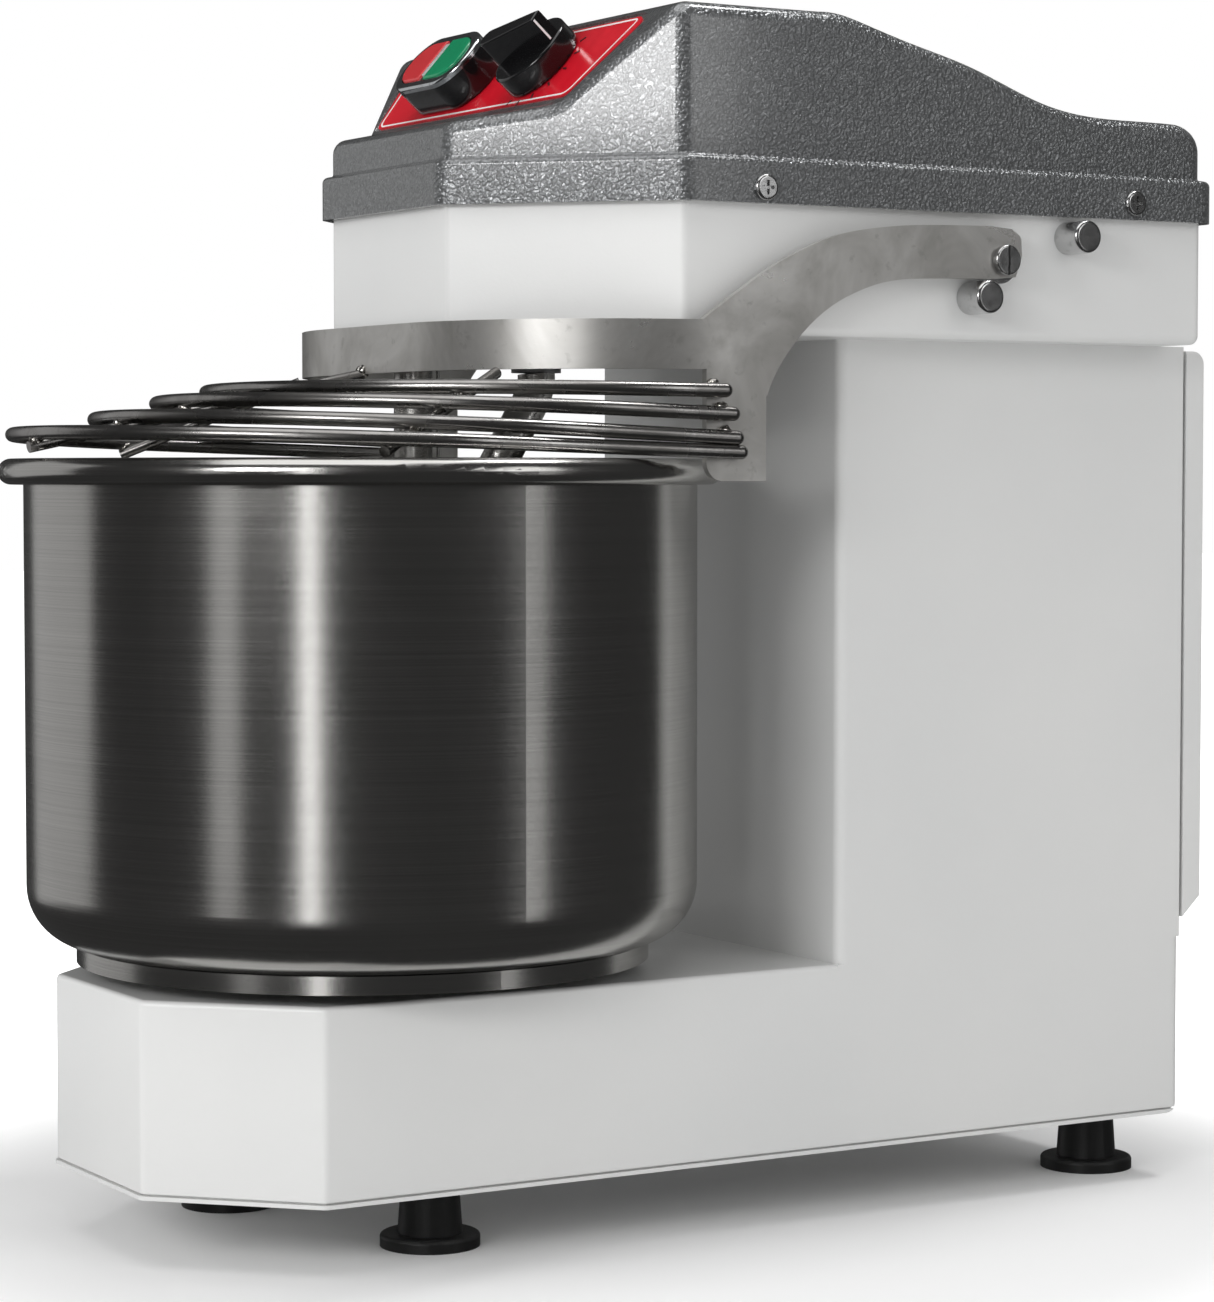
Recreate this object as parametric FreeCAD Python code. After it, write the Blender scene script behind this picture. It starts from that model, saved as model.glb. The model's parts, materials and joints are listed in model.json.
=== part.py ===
"""Table-top spiral dough mixer, built node by node.

Millimetres, z up, the front faces -y. Everything is modelled with the bowl's axis on x = 0, y = 0 and
the ground at z = 0; save() then moves each node so that the middle of the whole machine is over the origin.
"""
import FreeCAD
import Part
import math
import os

V = FreeCAD.Vector
X_AXIS = V(1, 0, 0)
Y_AXIS = V(0, 1, 0)
Z_AXIS = V(0, 0, 1)
SIDES = (-1, 1)

# placing
CENTRE_SHIFT = 104.0
LIP = 27.0

# sheet metal body
SHEET = 2.5
DECK_SHEET = 3.0
CORNER_ROUND = 4.0
BODY_HALF = 92.15
BASE_FRONT = -112.6
BASE_REAR = 335.7
BASE_LEG = 50.7
BASE_REAR_ROUND = 9.0
PLATE_SHEET = 1.5
PLATE_PROUD = 0.8
SEAM = 0.8
DECK_TOP = LIP + 74.0
COLUMN_FRONT = 162.5
WELL_HALF = 84.0
WELL_FRONT = 170.0
WELL_REAR = 316.0
HEAD_HALF = 114.4
HEAD_FRONT = 11.4
HEAD_REAR = 326.0
HEAD_LEG = 65.9
HEAD_BOTTOM = LIP + 320.2
HEAD_WALL_TOP = LIP + 382.0

# top cover
SKIRT_OUT = 4.5
SKIRT_GAP = 1.0
SKIRT_BOTTOM = LIP + 369.4
SKIRT_TOP = LIP + 386.6
SKIRT_ROUND = 2.4
SKIRT_HOLLOW_ROUND = 1.4
SKIRT_CAVITY_TOP = LIP + 383.0
COVER_OUT = 0.5
COVER_WALL = 3.0
COVER_ROUND = 6.0
COVER_CORNER = 9.0
SHELF_START = (-20.0, LIP + 395.0)
PANEL_FOOT = (44.5, LIP + 407.0)
PANEL_HEAD = (77.0, LIP + 444.0)
COVER_TOP_END = 140.0
PANEL_FOOT_ROUND = 12.0
PANEL_HEAD_ROUND = 9.0
BACK_CURVE = [(150, 443.5), (160, 441.0), (182, 434.8), (211, 427.2), (230, 420.4), (248, 414.4), (265, 411.2),
              (290, 410.0)]
BACK_END = (HEAD_REAR + 1.0, LIP + 408.6)
COVER_REAR_ROUND = 14.0
CAVITY_REAR = 310.0
COVER_INNER_SHIFT = (2.5, -3.5)
COVER_SCREWS = [(110.3, LIP + 375.3), (287.0, LIP + 376.0)]
PAN_HEAD_R = 5.0
PAN_HEAD_T = 2.0
SCREW_R = 2.0

# control panel, in the tilted frame of the panel's middle: u across, v up the slope, n out of it
LABEL_LOW = (-81.0, 76.0, -18.2)
LABEL_HIGH = (-95.0, 95.0, 21.8)
LABEL_ROUND = 5.0
LABEL_T = 0.8
LABEL_SINK = 1.0
GROOVE = 1.8
BUTTON_U = -29.0
BUTTON_V = 0.0
BUTTON_HALF = (26.5, 15.0)
BUTTON_H = 12.3
BEZEL_T = 2.5
BEZEL_HALF = (22.8, 11.3)
BEZEL_BAR = 1.6
CAP_GAP = 0.4
CAP_TOP = 15.6
CAP_DEPTH = 8.0
CAP_TRAVEL_ROOM = 3.8
NECK_R = 10.8
CONTACT_BLOCK = (20.0, 11.0, 28.0)
KNOB_U = 37.5
KNOB_V = 2.0
KNOB_R = 17.3
KNOB_FOOT_R = 16.7
KNOB_FOOT_T = 1.2
KNOB_BASE_T = 9.6
KNOB_TOP = 21.3
KNOB_TIP = (16.4, 3.1)
KNOB_BACK = (17.0, 4.7)
KNOB_FLARE = (5.6, 5.8)
KNOB_TURN = 15.0
KNOB_LIFT = 0.5
KNOB_STEM_R = 3.0
KNOB_STEM_L = 12.0
RUNNING = 0.06
POINTER = (0.55, 10.0, 0.5)
TICK_COUNT = 11
TICK_SWEEP = 250.0
TICK_SIZE = (3.2, 0.8, 0.2)
TICK_INNER_R = 18.2
TIMER_R = 19.0
TIMER_DEPTH = 27.0

# bowl
BOWL_R = 131.0
BOWL_SHEET = 1.5
BOWL_BOTTOM = LIP + 85.5
BOWL_CORNER = 23.0
RIM_R = 136.0
RIM_BEAD = 5.0
RIM_Z = LIP + 268.4
FOOT_RING_R = 112.0
FOOT_RING_T = 3.0
FOOT_RING_BOTTOM = LIP + 78.5
HUB_R = 60.0
HUB_BOTTOM = LIP + 79.5
HUB_BOSS_R = 22.0
HUB_BOSS_BOTTOM = LIP + 76.5
HUB_SCREW_PCD_R = 45.0
HUB_SCREWS = 4
BOWL_SHAFT_R = 12.5
BOWL_SHAFT_BOTTOM = 36.0
BOWL_HOUSING_R = 31.0
BOWL_HOUSING = (60.0, DECK_TOP + 1.5)
BOWL_FLANGE_R = 50.0
BOWL_FLANGE_T = 5.0
BOWL_BEARING = (26.0, 15.0)
BOWL_BEARING_Z = (64.0, 84.0)

# drive
COUNTER_Y = 187.0
MOTOR_Y = 265.0
SPIRAL_Y = 78.0
BELT_T = 4.0
BELT_GAP = 0.3
PULLEY_W = 16.0
FLANGE_W = 2.0
BELT_W = 11.0
FLANGE_OVER = 1.2
BOWL_PULLEY = (78.0, 41.0)
COUNTER_LOW_PULLEY = 13.0
COUNTER_MOTOR_PULLEY = 48.0
COUNTER_SPIRAL_PULLEY = 42.0
MOTOR_PULLEY = (20.0, LIP + 345.0)
SPIRAL_PULLEY = (35.0, LIP + 366.0)
COUNTER_SHAFT_R = 8.0
COUNTER_SHAFT = (36.0, 413.0)
CROSS_BAR_HALF_Y = 15.0
CROSS_BAR_H = 16.0
CROSS_BARS = (62.0, 325.0)
SPIRAL_SHAFT_R = 10.0
SPIRAL_SHAFT = (LIP + 308.0, 412.0)
SPIRAL_HOUSING_R = 26.0
SPIRAL_HOUSING = (HEAD_BOTTOM - 2.0, 378.0)
SPIRAL_FLANGE_R = 38.0
SPIRAL_FLANGE_T = 6.0
SPIRAL_BEARING = (21.0, 12.0)
SPIRAL_BEARING_Z = (350.0, 364.0)
MOTOR_R = 58.0
MOTOR_Z = (104.0, 277.0)
MOTOR_FINS = 24
GEARBOX_HALF = 46.0
GEARBOX_TOP = 327.0
BRACKET = (205.0, 325.0, 333.0, 339.0)
MOTOR_BOSS_R = 20.0
MOTOR_SHAFT_R = 9.0
MOTOR_SHAFT_BOTTOM = 312.0

# dough tools
ROD_R = 7.5
HOOK_R = 36.0
HOOK_BOTTOM = LIP + 103.0
HOOK_TURN = 400.0
HOOK_STEPS = 26
BREAKER_Y = 24.0
BREAKER_R = 9.0
BREAKER_BOTTOM = LIP + 97.0
STUD_R = 6.0

# guard
GUARD_T = 3.0
GUARD_IN = 121.5
GUARD_CORNER_Y = 91.5
GUARD_CORNER_R = 88.5
BAND = (LIP + 306.5, LIP + 325.0)
PIVOT = (218.2, LIP + 350.9)
PIVOT_R = 5.0
PIVOT_COLLAR_R = 9.0
PIVOT_HEAD_R = 5.9
TAIL_R = 8.4
ARM_TOP = [(86.3, 329.9), (95.2, 335.9), (104.1, 341.7), (113, 347), (122, 351.4), (131.1, 355.3), (140.2, 358.3),
           (154, 361), (168, 362.6), (191.5, 363.7), (210.7, 364.0)]
ARM_LOW = [(212, 343.4), (196.4, 343.3), (182.2, 343), (168.1, 342), (158.7, 340.3), (149.5, 337.3), (140.3, 333.2),
           (131.2, 327.4), (122.1, 319.2), (115.4, 311.2), (110.9, 304.2), (107.7, 297)]
TAIL = [(221.5, 363.2), (226.2, 360.2)]
TAB = (81.1, 107.2, LIP + 264.8)
TAB_ROUND = 7.0
TAIL_ROUND = 3.0
ROD_HALF = 127.7
HOOP_R = 2.7
HOOPS = [(73.5, 299.9, 298.6, 87.0), (52.0, 295.4, 289.9, 90.5), (26.0, 289.0, 281.0, 92.3), (-7.8, 282.8, 275.6, 94.1)]
STRUT_R = 2.2
STRUT_RISE = 0.208
SIDE_STRUT = [(84.3, 13.6), (119.8, -51.2)]
WELD_R = 2.4
PIN_R = 6.5
PIN_END = 128.6
PINS = [(208.9, LIP + 336.3), (256.6, LIP + 361.2)]
PIN_STUB_R = 3.0

# rear cover, feet and fittings
TRAY_HALF = 91.8
TRAY = (LIP + 82.0, LIP + 318.5)
TRAY_GAP = 1.3
TRAY_DEPTH = 11.0
TRAY_WALL = 2.5
TRAY_SLOPE = 9.0
TRAY_TOP_ROUND = 5.5
GASKET_INSET = 2.0
GASKET_WIDTH = 9.0
COUNTERSINK = 1.5
TRAY_BOSS_R = 4.5
TRAY_SCREW_X = 83.0
TRAY_SCREW_Z = (LIP + 96.0, LIP + 202.0, LIP + 309.0)
FOOT_PLACES = [(-56.0, -33.0), (52.5, 1.5), (-56.0, 315.0), (56.0, 315.0)]
FOOT_R = 19.25
FOOT_DISC = 5.0
FOOT_STEM = (12.5, 11.0)
GLAND = (-50.0, 72.0)
GLAND_BORE_R = 4.5
GLAND_THREAD_R = 8.0
GLAND_HEX_R = 11.5
GLAND_END = BASE_REAR + 13.0


def box(x0, x1, y0, y1, z0, z1):
    return Part.makeBox(x1 - x0, y1 - y0, z1 - z0, V(x0, y0, z0))


def post(x, y, z0, z1, radius):
    return Part.makeCylinder(radius, z1 - z0, V(x, y, z0), Z_AXIS)


def ring(x, y, z0, z1, inner, outer):
    return post(x, y, z0, z1, outer).cut(post(x, y, z0, z1, inner))


def bar_x(x0, x1, y, z, radius):
    return Part.makeCylinder(radius, abs(x1 - x0), V(min(x0, x1), y, z), X_AXIS)


def bar_y(x, y0, y1, z, radius):
    return Part.makeCylinder(radius, y1 - y0, V(x, y0, z), Y_AXIS)


def hexagon(radius):
    return [(radius * math.cos(math.radians(60 * i)), radius * math.sin(math.radians(60 * i))) for i in range(6)]


def prism_z(points, z0, z1):
    wire = Part.makePolygon([V(x, y, z0) for x, y in points + points[:1]])
    return Part.Face(wire).extrude(V(0, 0, z1 - z0))


def hex_post(x, y, z0, z1, radius):
    return prism_z([(x + px, y + py) for px, py in hexagon(radius)], z0, z1)


def round_edges(shape, radius, chosen):
    edges = [edge for edge in shape.Edges if chosen(edge)]
    return shape.makeFillet(radius, edges)


def upright(edge):
    ends = [v.Point for v in edge.Vertexes]
    return len(ends) == 2 and math.hypot(ends[0].x - ends[1].x, ends[0].y - ends[1].y) < 0.01


def at_height(z):
    return lambda edge: edge.BoundBox.ZMin > z - 0.01 and edge.BoundBox.ZMax < z + 0.01


def along_x_at(y, z):
    def chosen(edge):
        b = edge.BoundBox
        return b.YLength < 0.01 and b.ZLength < 0.01 and abs(b.YMin - y) < 0.01 and abs(b.ZMin - z) < 0.01
    return chosen


def compound(solids):
    return Part.makeCompound(solids)


def both_sides(make):
    return compound([make(side) for side in SIDES])


def save(name, shape):
    moved = shape.copy()
    moved.translate(V(0, -CENTRE_SHIFT, 0))
    moved.exportStep("parts/" + name + ".step")


def hull_plan(half, front, rear, leg, out, z0, z1):
    """Plan shared by base and head: a rectangle with its two front corners cut at 45 degrees, grown by out."""
    side = half + out
    near = front - out
    cut = leg + out * (2 - math.sqrt(2))
    far = rear + out
    points = [(-side, far), (-side, near + cut), (-side + cut, near), (side - cut, near), (side, near + cut), (side, far)]
    return prism_z(points, z0, z1)


def base_plan(out, z0, z1):
    return hull_plan(BODY_HALF, BASE_FRONT, BASE_REAR, BASE_LEG, out, z0, z1)


def head_plan(out, z0, z1):
    return hull_plan(HEAD_HALF, HEAD_FRONT, HEAD_REAR, HEAD_LEG, out, z0, z1)


# ---------------------------------------------------------------- body
def rear_rounding():
    block = box(-BODY_HALF * 2, BODY_HALF * 2, BASE_FRONT * 2, BASE_REAR + PLATE_PROUD, LIP, DECK_TOP * 2)
    return round_edges(block, BASE_REAR_ROUND, along_x_at(BASE_REAR + PLATE_PROUD, LIP))


def base_plate():
    lower = round_edges(base_plan(PLATE_PROUD, LIP, LIP + PLATE_SHEET), CORNER_ROUND, upright)
    upper = base_plan(-PLATE_SHEET, LIP + PLATE_SHEET, LIP + PLATE_SHEET + SEAM)
    plate = lower.fuse(upper).common(rear_rounding())
    for x, y in FOOT_PLACES:
        plate = plate.cut(post(x, y, LIP - 1, LIP + PLATE_SHEET + SEAM + 1, SCREW_R * 2))
    return plate.removeSplitter()


def base_shell():
    bottom = LIP + PLATE_SHEET + SEAM
    outer = round_edges(base_plan(0, bottom, DECK_TOP), CORNER_ROUND, upright)
    inner = base_plan(-SHEET, bottom - 1, DECK_TOP - DECK_SHEET)
    front_round = round_edges(outer, CORNER_ROUND / 2, at_height(DECK_TOP))
    front_half = front_round.common(box(-BODY_HALF, BODY_HALF, BASE_FRONT, COLUMN_FRONT, 0, DECK_TOP))
    rear_half = outer.common(box(-BODY_HALF, BODY_HALF, COLUMN_FRONT, BASE_REAR, 0, DECK_TOP))
    shell = front_half.fuse(rear_half).cut(inner).common(rear_rounding())
    shell = shell.cut(box(-WELL_HALF, WELL_HALF, WELL_FRONT, WELL_REAR, DECK_TOP - DECK_SHEET - 1, DECK_TOP + 1))
    shell = shell.cut(post(0, 0, DECK_TOP - DECK_SHEET - 1, DECK_TOP + 1, BOWL_HOUSING_R))
    shell = shell.cut(bar_y(GLAND[0], BASE_REAR - SHEET - 1, BASE_REAR + 1, GLAND[1], GLAND_THREAD_R))
    return shell.removeSplitter()


def tray_screw_places():
    return [(side * TRAY_SCREW_X, z) for side in SIDES for z in TRAY_SCREW_Z]


def column_shell():
    outer = box(-BODY_HALF, BODY_HALF, COLUMN_FRONT, BASE_REAR, DECK_TOP, HEAD_BOTTOM)
    outer = round_edges(outer, CORNER_ROUND, lambda edge: upright(edge) and edge.BoundBox.YMax < BASE_REAR - 1)
    outer = round_edges(outer, SHEET / 2, lambda edge: upright(edge) and edge.BoundBox.YMax > BASE_REAR - 0.01)
    half = BODY_HALF - SHEET
    inner = box(-half, half, COLUMN_FRONT + SHEET, BASE_REAR - SHEET, DECK_TOP - 1, HEAD_BOTTOM - DECK_SHEET)
    shell = outer.cut(inner)
    shell = shell.cut(box(-WELL_HALF, WELL_HALF, WELL_FRONT, WELL_REAR, HEAD_BOTTOM - DECK_SHEET - 1, HEAD_BOTTOM + 1))
    window_half = TRAY_HALF - GASKET_WIDTH * 1.8
    shell = shell.cut(box(-window_half, window_half, BASE_REAR - SHEET - 1, BASE_REAR + 1, TRAY[0] + 16, TRAY[1] - 16))
    for x, z in tray_screw_places():
        shell = shell.cut(bar_y(x, BASE_REAR - SHEET - 1, BASE_REAR + 1, z, SCREW_R))
    return shell.removeSplitter()


def head_shell():
    outer = round_edges(head_plan(0, HEAD_BOTTOM, HEAD_WALL_TOP), CORNER_ROUND, upright)
    outer = round_edges(outer, CORNER_ROUND * 0.9, at_height(HEAD_BOTTOM))
    shell = outer.cut(head_plan(-SHEET, HEAD_BOTTOM + DECK_SHEET, HEAD_WALL_TOP + 1))
    shell = shell.cut(box(-WELL_HALF, WELL_HALF, WELL_FRONT, WELL_REAR, HEAD_BOTTOM - 1, HEAD_BOTTOM + DECK_SHEET + 1))
    shell = shell.cut(post(0, SPIRAL_Y, HEAD_BOTTOM - 1, HEAD_BOTTOM + DECK_SHEET + 1, SPIRAL_HOUSING_R))
    shell = shell.cut(post(0, BREAKER_Y, HEAD_BOTTOM - 1, HEAD_BOTTOM + DECK_SHEET + 1, STUD_R))
    shell = shell.cut(bar_x(-HEAD_HALF - 1, HEAD_HALF + 1, PIVOT[0], PIVOT[1], SCREW_R * 2))
    for y, z in PINS:
        shell = shell.cut(bar_x(-HEAD_HALF - 1, HEAD_HALF + 1, y, z, PIN_STUB_R))
    for y, z in COVER_SCREWS:
        shell = shell.cut(bar_x(-HEAD_HALF - 1, HEAD_HALF + 1, y, z, SCREW_R))
    return shell.removeSplitter()


# ---------------------------------------------------------------- top cover
def cover_slab(dy, dz, bottom):
    """Side profile of the cover carried right across the machine."""
    points = [SHELF_START, PANEL_FOOT, PANEL_HEAD, (COVER_TOP_END, PANEL_HEAD[1])]
    points = [V(0, y + dy, z + dz) for y, z in points]
    curve_points = [points[-1]] + [V(0, y + dy, LIP + z + dz) for y, z in BACK_CURVE]
    curve_points.append(V(0, BACK_END[0] + dy, BACK_END[1] + dz))
    curve = Part.BSplineCurve()
    curve.interpolate(curve_points)
    front_foot = V(0, points[0].y, bottom)
    rear_foot = V(0, curve_points[-1].y, bottom)
    edges = [Part.makeLine(front_foot, points[0])]
    edges += [Part.makeLine(points[i], points[i + 1]) for i in range(3)]
    edges += [curve.toShape(), Part.makeLine(curve_points[-1], rear_foot), Part.makeLine(rear_foot, front_foot)]
    face = Part.Face(Part.Wire(edges))
    face.translate(V(-HEAD_HALF * 1.5, 0, 0))
    return face.extrude(V(HEAD_HALF * 3, 0, 0))


def cover_body():
    slab = cover_slab(0, 0, SKIRT_BOTTOM)
    slab = round_edges(slab, PANEL_FOOT_ROUND, along_x_at(PANEL_FOOT[0], PANEL_FOOT[1]))
    slab = round_edges(slab, PANEL_HEAD_ROUND, along_x_at(PANEL_HEAD[0], PANEL_HEAD[1]))
    slab = round_edges(slab, COVER_REAR_ROUND, along_x_at(BACK_END[0], BACK_END[1]))
    plan = hull_plan(HEAD_HALF, HEAD_FRONT, BACK_END[0], HEAD_LEG, COVER_OUT, SKIRT_BOTTOM, PANEL_HEAD[1] + 1)
    plan = round_edges(plan, COVER_CORNER, upright)
    body = plan.common(slab)
    return round_edges(body, COVER_ROUND, on_rim)


def on_rim(edge):
    """True for an edge between an upright wall and the top surfaces, false for one across the top."""
    b = edge.BoundBox
    if upright(edge) or b.ZMax < SKIRT_TOP:
        return False
    across = b.YLength < 0.5 and b.XLength > HEAD_HALF * 0.8
    middle = (b.YMin + b.YMax) / 2
    inside = middle > HEAD_FRONT + 1
    return not (across and inside)


def top_cover():
    skirt = round_edges(head_plan(SKIRT_OUT, SKIRT_BOTTOM, SKIRT_TOP), COVER_CORNER, upright)
    skirt = round_edges(skirt, SKIRT_ROUND, at_height(SKIRT_TOP))
    cover = skirt.fuse(cover_body()).removeSplitter()
    inner_edge = head_plan(SKIRT_OUT - SKIRT_ROUND - 0.5, SKIRT_TOP - 1, SKIRT_TOP + 1)
    foot_of_wall = lambda edge: at_height(SKIRT_TOP)(edge) and inner_edge.isInside(edge.CenterOfMass, 0.01, True)
    cover = round_edges(cover, SKIRT_HOLLOW_ROUND, foot_of_wall)
    cover = cover.cut(head_plan(SKIRT_GAP, SKIRT_BOTTOM - 1, SKIRT_CAVITY_TOP))
    out = COVER_OUT - COVER_WALL
    inner_plan = hull_plan(HEAD_HALF, HEAD_FRONT, CAVITY_REAR, HEAD_LEG, out, SKIRT_BOTTOM - 1, PANEL_HEAD[1] + 1)
    cover = cover.cut(inner_plan.common(cover_slab(COVER_INNER_SHIFT[0], COVER_INNER_SHIFT[1], SKIRT_BOTTOM - 1)))
    cover = cover.cut(on_panel(label_outline(GROOVE, -LABEL_SINK, LABEL_SINK * 4)))
    cover = cover.cut(on_panel(post(BUTTON_U, BUTTON_V, -BUTTON_H, BUTTON_H, NECK_R)))
    cover = cover.cut(on_panel(post(KNOB_U, KNOB_V, -BUTTON_H, BUTTON_H, KNOB_STEM_R + 1)))
    for y, z in COVER_SCREWS:
        cover = cover.cut(bar_x(-HEAD_HALF * 1.2, HEAD_HALF * 1.2, y, z, SCREW_R))
    return cover.removeSplitter()


def pan_head_screw(side, base_x, y, z, length):
    head = bar_x(side * base_x, side * (base_x + PAN_HEAD_T), y, z, PAN_HEAD_R)
    outer = side * (base_x + PAN_HEAD_T)
    rim = lambda edge: abs(edge.BoundBox.XMin - outer) < 0.01 and abs(edge.BoundBox.XMax - outer) < 0.01
    head = round_edges(head, PAN_HEAD_T * 0.6, rim)
    depth = PAN_HEAD_T * 0.6
    x0, x1 = sorted((outer, outer - side * depth))
    slot = PAN_HEAD_R * 0.55
    width = PAN_HEAD_R * 0.12
    head = head.cut(box(x0, x1, y - slot, y + slot, z - width, z + width))
    head = head.cut(box(x0, x1, y - width, y + width, z - slot, z + slot))
    return head.fuse(bar_x(side * base_x, side * (base_x - length), y, z, SCREW_R)).removeSplitter()


def cover_screws():
    places = [(side, y, z) for side in SIDES for y, z in COVER_SCREWS]
    return compound([pan_head_screw(side, HEAD_HALF + SKIRT_OUT, y, z, 10.0) for side, y, z in places])


# ---------------------------------------------------------------- control panel
def panel_tilt():
    return math.degrees(math.atan2(PANEL_HEAD[1] - PANEL_FOOT[1], PANEL_HEAD[0] - PANEL_FOOT[0]))


def on_panel(shape):
    placed = shape.copy()
    middle_y = 59.5
    slope = math.tan(math.radians(panel_tilt()))
    middle_z = PANEL_FOOT[1] + (middle_y - PANEL_FOOT[0]) * slope
    placed.rotate(V(0, 0, 0), X_AXIS, panel_tilt())
    placed.translate(V(0, middle_y, middle_z))
    return placed


def label_outline(out, n0, n1):
    low, high = LABEL_LOW, LABEL_HIGH
    points = [(low[0] - out, low[2] - out), (low[1] + out, low[2] - out)]
    points += [(high[1] + out, high[2] + out), (high[0] - out, high[2] + out)]
    return round_edges(prism_z(points, n0, n1), LABEL_ROUND, upright)


def control_label():
    label = label_outline(0, -LABEL_SINK, -LABEL_SINK + LABEL_T)
    label = label.cut(post(BUTTON_U, BUTTON_V, -LABEL_SINK - 1, 1, NECK_R))
    label = label.cut(post(KNOB_U, KNOB_V, -LABEL_SINK - 1, 1, KNOB_STEM_R + 1))
    return on_panel(label)


def dial_ticks():
    ticks = []
    for i in range(TICK_COUNT):
        tick = box(TICK_INNER_R, TICK_INNER_R + TICK_SIZE[0], -TICK_SIZE[1] / 2, TICK_SIZE[1] / 2, 0, TICK_SIZE[2])
        turn = KNOB_TURN + (i - (TICK_COUNT - 1) / 2) * TICK_SWEEP / (TICK_COUNT - 1)
        tick.rotate(V(0, 0, 0), Z_AXIS, turn)
        tick.translate(V(KNOB_U, KNOB_V, -LABEL_SINK + LABEL_T))
        reach = abs(tick.CenterOfMass.y)
        if reach < LABEL_HIGH[2] - TICK_SIZE[0]:
            ticks.append(on_panel(tick))
    return compound(ticks)


def rounded_block(half_u, half_v, n0, n1):
    block = box(-half_u, half_u, -half_v, half_v, n0, n1)
    return round_edges(block, half_v * 0.96, upright)


def at_buttons(shape):
    moved = shape.copy()
    moved.translate(V(BUTTON_U, BUTTON_V, 0))
    return on_panel(moved)


def cap_outline(side, gap, n0, n1):
    """Half of the bezel's opening on one side of the bar, smaller all round by gap."""
    whole = rounded_block(BEZEL_HALF[0] - gap, BEZEL_HALF[1] - gap, n0, n1)
    x0, x1 = sorted((side * (BEZEL_BAR + gap), side * BEZEL_HALF[0] * 2))
    return whole.common(box(x0, x1, -BUTTON_HALF[1], BUTTON_HALF[1], n0, n1))


def button_housing():
    seat = -LABEL_SINK + LABEL_T
    body = rounded_block(BUTTON_HALF[0], BUTTON_HALF[1], seat, BUTTON_H)
    body = round_edges(body, 1.2, at_height(seat))
    floor = CAP_TOP - CAP_DEPTH - CAP_TRAVEL_ROOM
    for side in SIDES:
        body = body.cut(cap_outline(side, 0, floor, BUTTON_H + 1))
    neck = post(0, 0, -CONTACT_BLOCK[2] / 2, seat, NECK_R)
    block = box(-CONTACT_BLOCK[0], CONTACT_BLOCK[0], -CONTACT_BLOCK[1], CONTACT_BLOCK[1],
                -CONTACT_BLOCK[2], -CONTACT_BLOCK[2] / 2 + 6)
    return at_buttons(body.fuse(neck).fuse(block).removeSplitter())


def button_bezel():
    frame = rounded_block(BUTTON_HALF[0], BUTTON_HALF[1], BUTTON_H, BUTTON_H + BEZEL_T)
    frame = round_edges(frame, 1.2, at_height(BUTTON_H + BEZEL_T))
    for side in SIDES:
        frame = frame.cut(cap_outline(side, 0, BUTTON_H - 1, BUTTON_H + BEZEL_T + 1))
    return at_buttons(frame)


def button_cap(side):
    cap = cap_outline(side, CAP_GAP, CAP_TOP - CAP_DEPTH, CAP_TOP)
    cap = round_edges(cap, 1.0, at_height(CAP_TOP))
    return at_buttons(cap)


def at_knob(shape):
    moved = shape.copy()
    moved.rotate(V(0, 0, 0), Z_AXIS, KNOB_TURN)
    moved.translate(V(KNOB_U, KNOB_V, -LABEL_SINK + LABEL_T + KNOB_LIFT))
    return on_panel(moved)


def knob_pointer_block():
    tip = KNOB_TIP[0]
    low = KNOB_TOP - POINTER[1] - 1
    return box(tip - POINTER[2], tip, -KNOB_TIP[1] + 0.5, -KNOB_TIP[1] + 0.5 + POINTER[0] * 2, low, KNOB_TOP - 1)


def knob_grip():
    """The raised bar: narrow and flat at the pointer end, wider and round at the back."""
    (tip, tip_half), (back, back_half) = KNOB_TIP, KNOB_BACK
    outline = [(-back, -back_half), (tip, -tip_half), (tip, tip_half), (-back, back_half)]
    grip = prism_z(outline, KNOB_BASE_T - 1, KNOB_TOP)
    grip = round_edges(grip, back_half * 0.85, lambda edge: upright(edge) and edge.BoundBox.XMax < 0)
    return round_edges(grip, 0.9, at_height(KNOB_TOP))


def knob_flare():
    """The hollow-sided foot that spreads from the bar to the top of the knob's round body."""
    spread, rise = KNOB_FLARE
    half, low = KNOB_BACK[1], KNOB_BASE_T - 0.5
    wide = half + spread
    spots = [(wide, low), (half + spread * 0.25, low + rise * 0.3), (half, low + rise)]
    right = Part.Arc(*[V(0, y, z) for y, z in spots]).toShape()
    left = Part.Arc(*[V(0, -y, z) for y, z in reversed(spots)]).toShape()
    top = Part.makeLine(V(0, half, low + rise), V(0, -half, low + rise))
    bottom = Part.makeLine(V(0, -wide, low), V(0, wide, low))
    face = Part.Face(Part.Wire([right, top, left, bottom]))
    face.translate(V(-KNOB_R, 0, 0))
    flare = face.extrude(V(KNOB_R * 2, 0, 0))
    return flare.common(post(0, 0, 0, KNOB_TOP, KNOB_BACK[0] - 1.5))


def timer_knob():
    foot = post(0, 0, 0, KNOB_FOOT_T, KNOB_FOOT_R)
    base = round_edges(post(0, 0, KNOB_FOOT_T, KNOB_BASE_T, KNOB_R), 1.2, at_height(KNOB_BASE_T))
    stem = post(0, 0, -KNOB_STEM_L, 0, KNOB_STEM_R)
    knob = foot.fuse([base, knob_flare(), knob_grip(), stem]).cut(knob_pointer_block())
    return at_knob(knob.removeSplitter())


def knob_pointer():
    return at_knob(knob_pointer_block())


def timer_body():
    face = -LABEL_SINK - COVER_WALL - 0.8
    body = post(KNOB_U, KNOB_V, -TIMER_DEPTH, face, TIMER_R)
    body = body.cut(post(KNOB_U, KNOB_V, -KNOB_STEM_L - 4, 1, KNOB_STEM_R + RUNNING))
    return on_panel(body)


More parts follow.
